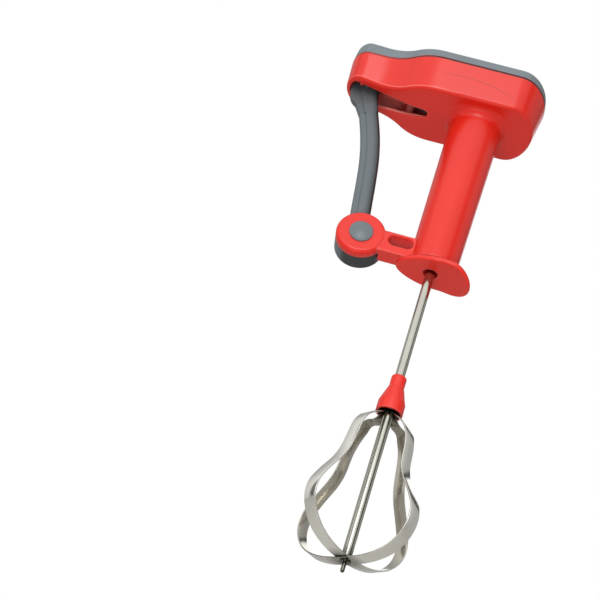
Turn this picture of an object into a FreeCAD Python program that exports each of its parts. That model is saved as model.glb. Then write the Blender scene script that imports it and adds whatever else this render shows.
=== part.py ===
"""Hand beater worked by a squeeze lever: the lever drives a rack, the rack a gear
pair, and the gear pair turns the whisk.  Millimetres, +Z up through the gear housing.
The origin is the middle of the grip, on the shaft's axis.  The lever stands at -X,
and the button over its pivot faces -Y."""
import FreeCAD, Part
import math
import os

V = FreeCAD.Vector
Y_AXIS = V(0, 1, 0)
Z_AXIS = V(0, 0, 1)

# ---------------------------------------------------------------- driving sizes
# How far a cutting shape stands out past what it cuts.
OVERCUT = 1.0
# How far from its place an edge may be found: a straight one, and a curved one.
EDGE_SLACK = 0.01
CURVE_SLACK = 0.1

# Grip: the round handle moulded with the gear housing.
GRIP_LENGTH = 119.3
GRIP_TOP_DIAMETER = 34.4
GRIP_FOOT_DIAMETER = 30.6
GRIP_TOP_OFFSET = 1.5
GRIP_BORE_DIAMETER = 24.0
GRIP_ROOT_COVE = 6.0
BUSH_WEB_THICKNESS = 8.0

# Gear housing: a pear in plan, broad over the grip, with a nose over the lever.
HOUSING_DEPTH = 24.2
HOUSING_WALL = 2.2
HOUSING_FLOOR = 2.2
BODY_HALF_WIDTH = 31.6
BODY_END = 42.5
BODY_END_LENGTH = 20.5
SHOULDER_START = -29.0
SHOULDER_LENGTH = 40.0
NOSE_HALF_WIDTH = 18.8
NOSE_END = -90.5
NOSE_END_LENGTH = 11.5
BODY_DRAFT = 5.0
NOSE_DRAFT = 5.8
REAR_DRAFT = 4.0
FRONT_DRAFT = 1.5
CREASE_RADIUS = 2.4
NOSE_RISE_START = -45.0
NOSE_RISE_DEG = 7.6
CLIMB_BEND_RADIUS = 60.0

# Mouth in the underside, in which the lever swings.
MOUTH_LIP = 2.0
MOUTH_NOSE_HALF_WIDTH = 9.3
MOUTH_NOSE_LENGTH = 5.0
SLOT_HALF_WIDTH = 4.0
SLOT_END = -31.8

# Top cover: a shallow lid with a rounded upper edge and a rim that plugs in.
# Its top is level over the body and climbs towards the nose.
COVER_HEIGHT = 7.4
COVER_RISE_START = -30.0
COVER_RISE_DEG = 3.2
COVER_WALL = 2.0
COVER_EDGE_RADIUS = 2.6
COVER_DRAFT = 0.9
SEAM_GAP = 0.35
RIM_HEIGHT = 2.2
RIM_THICKNESS = 1.4
RIM_CLEARANCE = 0.25

# Finger guard: flange, arm and the front half of the pivot drum, one moulding.
GUARD_THICKNESS = 3.6
GUARD_HALF_WIDTH = 16.2
GUARD_FRONT_END = -22.5
GUARD_REAR_END = 25.8
GUARD_WIDEST_FRONT = 6.0
GUARD_WIDEST_REAR = 12.0
GUARD_FRONT_FULLNESS = 0.48
GUARD_DROOP_START = 6.0
GUARD_DROOP_RADIUS = 34.0
GUARD_EDGE_RADIUS = 1.3
GUARD_HOLE_DIAMETER = 9.6
GUARD_HOLE_DEPTH = 5.6
SPIGOT_LENGTH = 12.0
SPIGOT_CLEARANCE = 0.08

# Arm between the guard and the pivot drum, set a little behind the drum's face.
ARM_SETBACK = 0.8
ARM_THICKNESS = 12.0
ARM_TOP_ABOVE_PIVOT = 6.1
ARM_SINK = 1.0
ARM_SLOT_LENGTH = 15.5
ARM_SLOT_HEIGHT = 7.4
ARM_SLOT_FROM_PIVOT = 25.4
ARM_SLOT_ABOVE_PIVOT = 1.0
ARM_SLOT_BEVEL = 0.9
EYE_RELIEF = 0.6

# Pivot drum: the guard's boss in front, the lever's eye behind.
PIVOT_FROM_SHAFT = 48.0
PIVOT_ABOVE_GUARD = 7.9
DRUM_FRONT = -8.6
DRUM_DIAMETER = 31.2
BOSS_THICKNESS = 5.9
BOSS_EDGE_RADIUS = 2.6
EYE_THICKNESS = 12.4
EYE_EDGE_RADIUS = 1.6
DRUM_GAP = 0.3
PIVOT_DIAMETER = 6.0
PIVOT_HEAD_DIAMETER = 11.0
PIVOT_HEAD_HEIGHT = 1.8
PIVOT_HEAD_BEVEL = 0.3
BUTTON_DIAMETER = 14.9
BUTTON_CROWN = 1.4
BUTTON_RIM = 0.7
BUTTON_STEM_DIAMETER = 8.0
BUTTON_STEM_LENGTH = 2.0

# Return spring: a torsion coil round the pivot, between the boss and the eye.
SPRING_WIRE = 1.1
SPRING_RADIUS = 6.2
SPRING_TURNS = 3.25
SPRING_PITCH = 1.25
SPRING_GAP = 0.35
SPRING_LEG = 4.0
WIRE_SIDES = 8

# Squeeze lever: a straight foot, a long bend outward, then the head.  Its outer
# band is set back on both sides behind the main bar, and swells into the heel.
LEVER_TRAVEL_DEG = 16.5
LEVER_FOOT_OFFSET = 2.6
LEVER_LEAN_DEG = 7.0
LEVER_STRAIGHT = 48.0
LEVER_BEND_RADIUS = 225.0
LEVER_THICKNESS = 12.8
LEVER_BAND = 3.4
LEVER_BAND_SETBACK = 1.0
LEVER_BAND_CORNER = 1.4
LEVER_FOOT_WIDTH = 8.4
LEVER_HEAD_WIDTH = 6.6
LEVER_CORNER_RADIUS = 2.2
LEVER_NECK_BELOW_PIN = 21.0
HEEL_OUTWARD = 9.3
HEEL_BELOW_PIN = 6.0
HEEL_ROOT_BELOW_PIN = 15.5
TOE_INWARD = 9.2
TOE_BELOW_PIN = 6.5
HEAD_ABOVE_PIN = 3.4
HEAD_EDGE_RADIUS = 1.0
HEAD_CORNER = 3.6
HEEL_SWELL = 3.0

# Drive pin and rack slider.
PIN_ABOVE_FLOOR = 6.1
PIN_OUTWARD = 28.0
PIN_DIAMETER = 4.0
PIN_SLOT_CLEARANCE = 0.25
YOKE_CHEEK = 3.4
YOKE_GAP = 0.5
YOKE_BRIDGE = 1.5
YOKE_HEADROOM = 0.4
YOKE_HALF_LENGTH = 4.6
YOKE_LIFT = 1.0
YOKE_SKIN = 3.0
RACK_MODULE = 1.0
RACK_TEETH = 15
RACK_HEIGHT = 6.4
RACK_BODY = 3.6
RACK_LEAD = 1.5
RACK_END_MARGIN = 1.9
RAIL_HEIGHT = 4.3
RAIL_GAP = 0.15
RAIL_INSET = 0.4
FENCE_THICKNESS = 1.2

# Gear train.
SMALL_GEAR_TEETH = 12
LARGE_GEAR_TEETH = 43
SHAFT_PINION_TEETH = 12
GEAR_MODULE = 0.8
PRESSURE_ANGLE_DEG = 20.0
ROOT_DEPTH = 1.25
FLANK_STEPS = 3
LARGE_GEAR_THICKNESS = 5.0
SHAFT_PINION_HEIGHT = 6.0
TOOTH_BACKLASH = 0.16
STUB_ADDENDUM = 0.7
GEAR_HUB_WALL = 1.6
GEAR_RIM = 2.6
GEAR_GROOVE_DEPTH = 1.6
IDLER_AXLE_DIAMETER = 3.0
AXLE_SEAT = 2.8
AXLE_BOSS_WALL = 1.6
GEAR_END_GAP = 0.3
YOKE_HEAD_GAP = 0.5
PLATE_GAP = 1.2

# Bearing plate over the gears, on four posts.
PLATE_THICKNESS = 1.5
PLATE_MARGIN = 3.4
PLATE_POST_DIAMETER = 5.6
PLATE_POST_X_FRONT = -24.0
PLATE_POST_Y_FRONT = 23.0
PLATE_POST_X_REAR = 17.0
PLATE_POST_Y_REAR = 15.8
PLATE_SCREW_DIAMETER = 2.4
PLATE_SCREW_LENGTH = 7.0
PLATE_SCREW_HEAD_DIAMETER = 4.6
PLATE_SCREW_HEAD_HEIGHT = 1.3

# Cover screws and their posts.
COVER_POST_DIAMETER = 7.0
COVER_POST_X_FRONT = -46.0
COVER_POST_Y_FRONT = 16.6
COVER_POST_X_REAR = 30.0
COVER_POST_Y_REAR = 17.0
COVER_SCREW_DIAMETER = 3.0
COVER_SCREW_LENGTH = 10.0
COVER_SCREW_HEAD_DIAMETER = 5.8
COVER_SCREW_HEAD_HEIGHT = 1.8
COVER_CUP_DEPTH = 5.0
COVER_CUP_FLOOR = 1.6
COVER_CUP_WALL = 1.6
COVER_CUP_GAP = 0.3
SCREW_SLOT_WIDTH = 0.8
SCREW_SLOT_DEPTH = 0.7

# Drive shaft, its bushes, washer and clips.
SHAFT_DIAMETER = 6.0
SHAFT_SEAT_DIAMETER = 4.0
SHAFT_EXPOSED = 76.4
BUSH_DIAMETER = 10.0
BUSH_FLANGE_DIAMETER = 13.0
BUSH_FLANGE_THICKNESS = 1.2
RUNNING_CLEARANCE = 0.05
PRESS_CLEARANCE = 0.02
WASHER_THICKNESS = 0.6
CLIP_DIAMETER = 10.6
CLIP_THICKNESS = 0.8
CLIP_GROOVE_DEPTH = 0.5
CLIP_MOUTH_DEG = 70.0
END_PLAY = 0.1

# Whisk: collar, ferrule and two bent strips.
COLLAR_HEIGHT = 25.4
COLLAR_TOP_DIAMETER = 9.2
COLLAR_BASE_DIAMETER = 16.2
COLLAR_SKIRT = 7.0
COLLAR_NECK = 7.4
COLLAR_MOUTH_DIAMETER = 13.4
COLLAR_MOUTH_DEPTH = 6.2
COLLAR_EDGE_RADIUS = 1.4
COLLAR_SHOULDER_RADIUS = 1.5
WHISK_LENGTH = 94.0
WHISK_HALF_WIDTH = 38.9
STRIP_WIDTH = 8.5
STRIP_THICKNESS = 0.8
STRIP_GAP = 0.12
TANG_WIDTH = 5.0
TANG_LENGTH = 11.0
TANG_CLEARANCE = 0.05
TANG_BEND_LENGTH = 3.0
TAPER_LENGTH = 9.0
FERRULE_WALL = 0.6
FERRULE_HEIGHT = 4.0
INNER_LOOP_TURN_DEG = 43.2
OUTER_LOOP_TURN_DEG = 139.3
TIP_DIAMETER = 2.4
TIP_LENGTH = 7.4
TIP_HOLE_DIAMETER = 2.6
TIP_ROUND = 0.8
TIP_WASHER_DIAMETER = 6.4
TIP_WASHER_THICKNESS = 0.8

# The bend of each strip, from its foot to the collar: (distance from the shaft,
# height over the foot) as shares of the whisk's half width and of its length.
INNER_BEND = (
    (0.416, 0.024), (0.765, 0.095), (0.980, 0.253), (0.838, 0.424),
    (0.635, 0.581), (0.555, 0.734), (0.478, 0.862), (0.262, 0.948),
)
OUTER_BEND = (
    (0.450, 0.012), (0.835, 0.094), (0.992, 0.262), (0.843, 0.418),
    (0.612, 0.584), (0.560, 0.740), (0.462, 0.864), (0.248, 0.950),
)

# ------------------------------------------------------------ derived placement
grip_half = GRIP_LENGTH / 2
underside_z = grip_half
guard_top_z = -grip_half
guard_bottom_z = guard_top_z - GUARD_THICKNESS
floor_z = underside_z + HOUSING_FLOOR
seam_z = underside_z + HOUSING_DEPTH
cover_top_z = seam_z + COVER_HEIGHT
cover_inner_z = cover_top_z - COVER_WALL
nose_rise = (NOSE_RISE_START - NOSE_END) * math.tan(math.radians(NOSE_RISE_DEG))
cover_rise = (COVER_RISE_START - NOSE_END) * math.tan(math.radians(COVER_RISE_DEG))

pivot_x = -PIVOT_FROM_SHAFT
pivot_z = guard_top_z + PIVOT_ABOVE_GUARD
pivot = V(pivot_x, 0, pivot_z)
boss_back_y = DRUM_FRONT + BOSS_THICKNESS
eye_front_y = boss_back_y + DRUM_GAP
eye_back_y = eye_front_y + EYE_THICKNESS
arm_front_y = DRUM_FRONT + ARM_SETBACK
arm_back_y = arm_front_y + ARM_THICKNESS

pin_x = pivot_x - PIN_OUTWARD
pin_z = floor_z + PIN_ABOVE_FLOOR
pin_rise = pin_z - pivot_z
pin_reach = math.hypot(PIN_OUTWARD, pin_rise)
pin_radius = PIN_DIAMETER / 2
head_reach = math.hypot(PIN_OUTWARD, pin_rise + HEAD_ABOVE_PIN)
neck_height = pin_rise - LEVER_NECK_BELOW_PIN
lever_start = -math.atan2(PIN_OUTWARD, pin_rise)
lever_travel = math.radians(LEVER_TRAVEL_DEG)
lever_band_edge = LEVER_BAND - LEVER_THICKNESS / 2
rack_travel = pin_reach * (math.sin(lever_start + lever_travel) - math.sin(lever_start))

small_gear_radius = RACK_MODULE * SMALL_GEAR_TEETH / 2
large_gear_radius = GEAR_MODULE * LARGE_GEAR_TEETH / 2
shaft_pinion_radius = GEAR_MODULE * SHAFT_PINION_TEETH / 2
idler_x = -(large_gear_radius + shaft_pinion_radius)
rack_pitch_y = -small_gear_radius
rack_root_y = rack_pitch_y - ROOT_DEPTH * RACK_MODULE
rack_back_y = rack_root_y - RACK_BODY
rack_bottom_z = floor_z + RAIL_HEIGHT + RAIL_GAP
rack_top_z = rack_bottom_z + RACK_HEIGHT
bridge_z = pivot_z + head_reach + YOKE_HEADROOM
yoke_top_z = bridge_z + YOKE_BRIDGE
large_gear_z = yoke_top_z + YOKE_HEAD_GAP
large_gear_top_z = large_gear_z + LARGE_GEAR_THICKNESS
plate_z = large_gear_top_z + PLATE_GAP
plate_top_z = plate_z + PLATE_THICKNESS
pinion_z = (large_gear_z + large_gear_top_z - SHAFT_PINION_HEIGHT) / 2
screw_seat_z = cover_top_z - COVER_CUP_DEPTH
cover_post_top_z = screw_seat_z - COVER_CUP_FLOOR

# Mouth and slot under the nose.
slot_centre_x = SLOT_END - SLOT_HALF_WIDTH
mouth_front_x = NOSE_END + FRONT_DRAFT + MOUTH_LIP
mouth_side_x = mouth_front_x + MOUTH_NOSE_LENGTH
mouth_flare = (MOUTH_NOSE_HALF_WIDTH - SLOT_HALF_WIDTH) / (slot_centre_x - mouth_side_x)

# Rack slider at rest: the ends of its toothed bar, and where its rail starts.
rack_pitch = math.pi * RACK_MODULE
first_tooth_x = idler_x + RACK_LEAD * rack_pitch
rack_end_x = first_tooth_x + RACK_END_MARGIN
yoke_rear_x = pin_x + YOKE_HALF_LENGTH
rail_start_x = slot_centre_x + (rack_root_y + SLOT_HALF_WIDTH + PIN_SLOT_CLEARANCE) / mouth_flare

shaft_radius = SHAFT_DIAMETER / 2
bush_top_z = floor_z + BUSH_FLANGE_THICKNESS
web_bottom_z = underside_z - BUSH_WEB_THICKNESS
spigot_top_z = guard_top_z + SPIGOT_LENGTH
guard_bush_z = guard_bottom_z + GUARD_HOLE_DEPTH
collar_top_z = guard_bottom_z - SHAFT_EXPOSED
collar_base_z = collar_top_z - COLLAR_HEIGHT
whisk_foot_z = collar_base_z - WHISK_LENGTH
shaft_foot_z = whisk_foot_z + STRIP_GAP / 2 + STRIP_THICKNESS + END_PLAY
tang_radius = shaft_radius + TANG_CLEARANCE + STRIP_THICKNESS / 2
ferrule_bore = math.hypot(tang_radius + STRIP_THICKNESS / 2, TANG_WIDTH / 2) + TANG_CLEARANCE
ferrule_z = collar_base_z + COLLAR_MOUTH_DEPTH + END_PLAY

spring_room = SPRING_WIRE / 2 + SPRING_GAP
spring_depth = SPRING_TURNS * SPRING_PITCH / 2 + spring_room - DRUM_GAP / 2
leg_swing = math.degrees(math.atan2(SPRING_LEG, SPRING_RADIUS))
leg_margin = math.degrees(spring_room / SPRING_RADIUS)


def both_sides(points):
    """Each (x, y) and its mirror image in the plane y = 0."""
    return [(x, side * y) for x, y in points for side in (1, -1)]


plate_posts = both_sides([(PLATE_POST_X_FRONT, PLATE_POST_Y_FRONT),
                          (PLATE_POST_X_REAR, PLATE_POST_Y_REAR)])
cover_posts = both_sides([(COVER_POST_X_FRONT, COVER_POST_Y_FRONT),
                          (COVER_POST_X_REAR, COVER_POST_Y_REAR)])


# ------------------------------------------------------------------ small tools
def moved(shape, x=0.0, y=0.0, z=0.0):
    """A copy of a shape, shifted."""
    copy = shape.copy()
    copy.translate(V(x, y, z))
    return copy


def rod(diameter, x, y, low, high):
    """A round bar parallel to Z between two heights."""
    return Part.makeCylinder(diameter / 2, high - low, V(x, y, low), Z_AXIS)


def cross_rod(diameter, x, z, near, far):
    """A round bar parallel to Y between two depths."""
    return Part.makeCylinder(diameter / 2, far - near, V(x, near, z), Y_AXIS)


def block(x0, x1, y0, y1, z0, z1):
    """A box between two opposite corners."""
    return Part.makeBox(x1 - x0, y1 - y0, z1 - z0, V(x0, y0, z0))


def line(a, b):
    """A straight edge."""
    return Part.LineSegment(a, b).toShape()


def polygon_face(points):
    """A flat face through corner points."""
    return Part.Face(Part.makePolygon(list(points) + [points[0]]))


def quarter(start, corner, end, fullness=0.5523):
    """A quarter of an oval from start to end, drawn towards a corner."""
    curve = Part.BezierCurve()
    curve.setPoles([start, start + (corner - start) * fullness,
                    end + (corner - end) * fullness, end])
    return curve.toShape()


def turned(profile, x=0.0, low=0.0):
    """A solid turned about a Z axis from (radius, height) corners."""
    face = polygon_face([V(x + radius, 0, low + height) for radius, height in profile])
    return face.revolve(V(x, 0, 0), Z_AXIS, 360)


def turned_on_pivot(profile):
    """A solid turned about the pivot's axis from (radius, depth) corners."""
    face = polygon_face([V(pivot_x + radius, depth, pivot_z) for radius, depth in profile])
    return face.revolve(pivot, Y_AXIS, 360)


def rounded(shape, radius, chosen):
    """Fillets the edges that the test picks."""
    return shape.makeFillet(radius, [edge for edge in shape.Edges if chosen(edge.BoundBox)])


def lies_at_height(z):
    """A test for an edge in the level plane at z."""
    return lambda box: abs(box.ZMin - z) < EDGE_SLACK and abs(box.ZMax - z) < EDGE_SLACK


def lies_at_depth(y):
    """A test for an edge in the upright plane at y."""
    return lambda box: abs(box.YMin - y) < EDGE_SLACK and abs(box.YMax - y) < EDGE_SLACK


def mirrored_outline(half):
    """Closes a half outline, drawn from -X to +X on the +Y side, with its mirror image."""
    other = [edge.mirror(V(0, 0, 0), Y_AXIS) for edge in reversed(half)]
    return Part.Wire(half + other)


# ----------------------------------------------------------- housing and cover
def pear(z, inset, share):
    """The pear outline at height z, drawn in by an inset and a share of the draft."""
    body = BODY_HALF_WIDTH - inset - BODY_DRAFT * share
    nose = NOSE_HALF_WIDTH - inset - NOSE_DRAFT * share
    rear = BODY_END - inset - REAR_DRAFT * share
    front = NOSE_END + inset + FRONT_DRAFT * share
    rear_start = BODY_END - BODY_END_LENGTH
    front_start = NOSE_END + NOSE_END_LENGTH
    neck = SHOULDER_START - SHOULDER_LENGTH
    rise = body - nose
    bend = (SHOULDER_LENGTH ** 2 + rise ** 2) / (4 * rise)
    swing = math.asin(SHOULDER_LENGTH / (2 * bend)) / 2
    drop = bend * (1 - math.cos(swing))
    middle = V((SHOULDER_START + neck) / 2, (body + nose) / 2, z)
    hollow = V(neck + bend * math.sin(swing), nose + drop, z)
    swell = V(SHOULDER_START - bend * math.sin(swing), body - drop, z)
    return mirrored_outline([
        quarter(V(front, 0, z), V(front, nose, z), V(front_start, nose, z)),
        line(V(front_start, nose, z), V(neck, nose, z)),
        Part.Arc(V(neck, nose, z), hollow, middle).toShape(),
        Part.Arc(middle, swell, V(SHOULDER_START, body, z)).toShape(),
        line(V(SHOULDER_START, body, z), V(rear_start, body, z)),
        quarter(V(rear_start, body, z), V(rear, body, z), V(rear, 0, z)),
    ])


def pear_block(low, high, inset):
    """A pear-shaped block whose walls lean out from the underside to the seam."""
    ends = [pear(z, inset, (seam_z - z) / HOUSING_DEPTH) for z in (low, high)]
    return Part.makeLoft(ends, True, True)


def past_climb(z, start_x, climb_deg, depth):
    """All that lies past a surface, by a depth: level at z to the rear, and from
    start_x climbing towards the nose through a gentle bend."""
    far = 2 * abs(NOSE_END)
    climb = math.radians(climb_deg)
    run = CLIMB_BEND_RADIUS * math.tan(climb / 2)
    level_end = V(start_x + run, -far, z)
    via = level_end + V(-math.sin(climb / 2), 0, 1 - math.cos(climb / 2)) * CLIMB_BEND_RADIUS
    climb_start = V(start_x, -far, z) + V(-math.cos(climb), 0, math.sin(climb)) * run
    climb_end = V(start_x, -far, z) + V(-math.cos(climb), 0, math.sin(climb)) * far
    rear = V(far, -far, z)
    wire = Part.Wire([
        line(rear, level_end),
        Part.Arc(level_end, via, climb_start).toShape(),
        line(climb_start, climb_end),
        line(climb_end, V(climb_end.x, -far, z + depth)),
        line(V(climb_end.x, -far, z + depth), V(far, -far, z + depth)),
        line(V(far, -far, z + depth), rear),
    ])
    return Part.Face(wire).extrude(V(0, 2 * far, 0))


def under_nose(lift):
    """All that lies under the housing's underside, raised by a lift."""
    return past_climb(underside_z + lift, NOSE_RISE_START, NOSE_RISE_DEG, -HOUSING_DEPTH)


def over_cover(lift):
    """All that lies over the cover's top, raised by a lift."""
    return past_climb(cover_top_z + lift, COVER_RISE_START, COVER_RISE_DEG, HOUSING_DEPTH)


def mouth():
    """The cut in which the lever swings: broad under the nose, a slot at the grip."""
    z = underside_z - OVERCUT
    wire = mirrored_outline([
        quarter(V(mouth_front_x, 0, z), V(mouth_front_x, MOUTH_NOSE_HALF_WIDTH, z),
                V(mouth_side_x, MOUTH_NOSE_HALF_WIDTH, z)),
        line(V(mouth_side_x, MOUTH_NOSE_HALF_WIDTH, z),
             V(slot_centre_x, SLOT_HALF_WIDTH, z)),
        quarter(V(slot_centre_x, SLOT_HALF_WIDTH, z), V(SLOT_END, SLOT_HALF_WIDTH, z),
                V(SLOT_END, 0, z)),
    ])
    return Part.Face(wire).extrude(V(0, 0, HOUSING_FLOOR + nose_rise + 2 * OVERCUT))


def guard_arch(top, depth):
    """A slab under the guard's drooping top line: level, then bent down at the rear."""
    front = GUARD_FRONT_END - PIVOT_FROM_SHAFT
    end = GUARD_REAR_END + OVERCUT
    sag = GUARD_DROOP_RADIUS - math.sqrt(GUARD_DROOP_RADIUS ** 2 - (end - GUARD_DROOP_START) ** 2)
    half = (end - GUARD_DROOP_START) / 2
    half_sag = GUARD_DROOP_RADIUS - math.sqrt(GUARD_DROOP_RADIUS ** 2 - half ** 2)
    y = -2 * GUARD_HALF_WIDTH

    def edge_at(z):
        start = V(GUARD_DROOP_START, y, z)
        via = V(GUARD_DROOP_START + half, y, z - half_sag)
        last = V(end, y, z - sag)
        return line(V(front, y, z), start), Part.Arc(start, via, last).toShape(), last
    upper_flat, upper_arc, upper_end = edge_at(top)
    lower_flat, lower_arc, lower_end = edge_at(top - depth)
    wire = Part.Wire(Part.__sortEdges__([
        upper_flat, upper_arc, line(upper_end, lower_end), lower_arc, lower_flat,
        line(V(front, y, top - depth), V(front, y, top))]))
    return Part.Face(wire).extrude(V(0, 4 * GUARD_HALF_WIDTH, 0))


def grip_body():
    """The grip's outside: round at both ends, with the upper end moved to the rear."""
    foot = Part.makeCircle(GRIP_FOOT_DIAMETER / 2, V(0, 0, guard_top_z), Z_AXIS)
    top = Part.makeCircle(GRIP_TOP_DIAMETER / 2, V(GRIP_TOP_OFFSET, 0, underside_z), Z_AXIS)
    return Part.makeLoft([Part.Wire(foot), Part.Wire(top)], True, True)


def gear_housing():
    """Shell with the grip, the lever's mouth, the bush web, the rail and the posts."""
    shell = pear_block(underside_z - CREASE_RADIUS, seam_z, 0).cut(under_nose(0))

    def on_crease(box):
        return box.ZMax < underside_z + nose_rise + CURVE_SLACK and box.XLength > EDGE_SLACK
    shell = rounded(shell, CREASE_RADIUS, on_crease)
    shell = shell.fuse(grip_body())

    def on_grip_root(box):
        reach = GRIP_TOP_OFFSET + GRIP_TOP_DIAMETER / 2
        return lies_at_height(underside_z)(box) and abs(box.XMax - reach) < CURVE_SLACK
    shell = rounded(shell, GRIP_ROOT_COVE, on_grip_root)
    cavity = pear_block(underside_z, seam_z, HOUSING_WALL).cut(under_nose(HOUSING_FLOOR))
    shell = shell.cut([
        cavity, mouth(),
        rod(GRIP_BORE_DIAMETER, 0, 0, guard_top_z, web_bottom_z),
        rod(BUSH_DIAMETER + 2 * PRESS_CLEARANCE, 0, 0, web_bottom_z, floor_z),
        guard_arch(guard_top_z, GUARD_HALF_WIDTH)])

    sink = floor_z - HOUSING_FLOOR / 2
    rail_end_x = rack_end_x + rack_travel
    fence_top = rack_top_z - RACK_HEIGHT / 3
    fittings = [rod(PLATE_POST_DIAMETER, x, y, sink, plate_z) for x, y in plate_posts]
    fittings += [rod(COVER_POST_DIAMETER, x, y, sink, cover_post_top_z) for x, y in cover_posts]
    fittings.append(rod(IDLER_AXLE_DIAMETER + 2 * AXLE_BOSS_WALL, idler_x, 0, sink,
                        rack_bottom_z - END_PLAY))
    fittings.append(block(rail_start_x, rail_end_x, rack_back_y + RAIL_INSET,
                          rack_root_y - RAIL_INSET, sink, floor_z + RAIL_HEIGHT))
    fittings.append(block(rail_start_x, rail_end_x, rack_back_y - RAIL_GAP - FENCE_THICKNESS,
                          rack_back_y - RAIL_GAP, sink, fence_top))
    inside = pear_block(underside_z, cover_inner_z, HOUSING_WALL / 2).cut(
        under_nose(HOUSING_FLOOR / 2))
    shell = shell.fuse([fitting.common(inside) for fitting in fittings])
    cuts = [rod(PLATE_SCREW_DIAMETER, x, y, plate_top_z - PLATE_SCREW_LENGTH, plate_z)
            for x, y in plate_posts]
    cuts += [rod(COVER_SCREW_DIAMETER, x, y, screw_seat_z - COVER_SCREW_LENGTH,
                 cover_post_top_z) for x, y in cover_posts]
    cuts.append(rod(IDLER_AXLE_DIAMETER + 2 * PRESS_CLEARANCE, idler_x, 0,
                    rack_bottom_z - AXLE_SEAT, rack_bottom_z))
    return shell.cut(cuts)


def top_cover():
    """Lid with a rounded top edge, a rim that plugs into the shell, and screw cups."""
    foot = seam_z + SEAM_GAP
    peak = cover_top_z + cover_rise
    outer = Part.makeLoft([pear(foot, 0, 0), pear(peak, COVER_DRAFT, 0)], True, True)
    outer = outer.cut(over_cover(0))

    def on_top(box):
        return box.ZMin > cover_top_z - EDGE_SLACK and box.XLength > EDGE_SLACK
    outer = rounded(outer, COVER_EDGE_RADIUS, on_top)
    hollow = Part.Face(pear(foot, COVER_WALL, 0)).extrude(V(0, 0, peak - foot))
    hollow = hollow.cut(over_cover(-COVER_WALL))
    rim_inset = HOUSING_WALL + RIM_CLEARANCE
    ledge = Part.Face(pear(foot, COVER_WALL / 2, 0)).extrude(V(0, 0, RIM_THICKNESS))
    rim = pear_block(seam_z - RIM_HEIGHT, seam_z, rim_inset)
    neck = Part.Face(pear(seam_z, rim_inset, 0)).extrude(V(0, 0, SEAM_GAP))
    inner = pear_block(seam_z - RIM_HEIGHT, seam_z, rim_inset + RIM_THICKNESS)
    inner_top = Part.Face(pear(seam_z, rim_inset + RIM_THICKNESS, 0)).extrude(
        V(0, 0, SEAM_GAP + RIM_THICKNESS))
    skirt = ledge.fuse([rim, neck]).cut([inner, inner_top])
    cup_diameter = COVER_SCREW_HEAD_DIAMETER + 2 * (COVER_CUP_GAP + COVER_CUP_WALL)
    cups = [rod(cup_diameter, x, y, cover_post_top_z, peak).cut(over_cover(-COVER_WALL / 2))
            for x, y in cover_posts]
    lid = outer.cut(hollow).fuse([skirt] + cups)
    wells = [rod(COVER_SCREW_HEAD_DIAMETER + 2 * COVER_CUP_GAP, x, y, screw_seat_z, peak)
             for x, y in cover_posts]
    wells += [rod(COVER_SCREW_DIAMETER + 2 * COVER_CUP_GAP, x, y, cover_post_top_z, screw_seat_z)
              for x, y in cover_posts]
    return lid.cut(wells).removeSplitter()


def pan_screw(x, y, seat, diameter, length, head_diameter, head_height):
    """A pan-headed screw with a cross slot, its head standing on a seat."""
    bevel = head_height / 3
    head = turned([(0, 0), (head_diameter / 2, 0), (head_diameter / 2, head_height - bevel),
                   (head_diameter / 2 - bevel, head_height), (0, head_height)], 0, seat)
    screw = moved(head, x, y, 0).fuse(rod(diameter, x, y, seat - length, seat))
    reach = head_diameter / 3
    slot_floor = seat + head_height - SCREW_SLOT_DEPTH
    slots = [block(x - a, x + a, y - b, y + b, slot_floor, seat + head_height)
             for a, b in ((reach, SCREW_SLOT_WIDTH / 2), (SCREW_SLOT_WIDTH / 2, reach))]
    return screw.cut(slots)


def cover_screws():
    """Four screws down through the cover's cups into the housing's posts."""
    return Part.makeCompound([
        pan_screw(x, y, screw_seat_z, COVER_SCREW_DIAMETER - 2 * PRESS_CLEARANCE,
                  COVER_SCREW_LENGTH - END_PLAY, COVER_SCREW_HEAD_DIAMETER,
                  COVER_SCREW_HEAD_HEIGHT) for x, y in cover_posts])


# ------------------------------------------------------- finger guard and pivot
def guard_plan():
    """The flange's egg-shaped outline, swept through the height of the guard."""
    z = guard_bottom_z - GUARD_HALF_WIDTH
    front = V(GUARD_FRONT_END, 0, z)
    rear = V(GUARD_REAR_END, 0, z)
    front_side = V(GUARD_WIDEST_FRONT, GUARD_HALF_WIDTH, z)
    rear_side = V(GUARD_WIDEST_REAR, GUARD_HALF_WIDTH, z)
    wire = mirrored_outline([
        quarter(front, V(GUARD_FRONT_END, GUARD_HALF_WIDTH, z), front_side,
                GUARD_FRONT_FULLNESS),
        line(front_side, rear_side),
        quarter(rear_side, V(GUARD_REAR_END, GUARD_HALF_WIDTH, z), rear),
    ])
    return Part.Face(wire).extrude(V(0, 0, 2 * GUARD_HALF_WIDTH))


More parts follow.
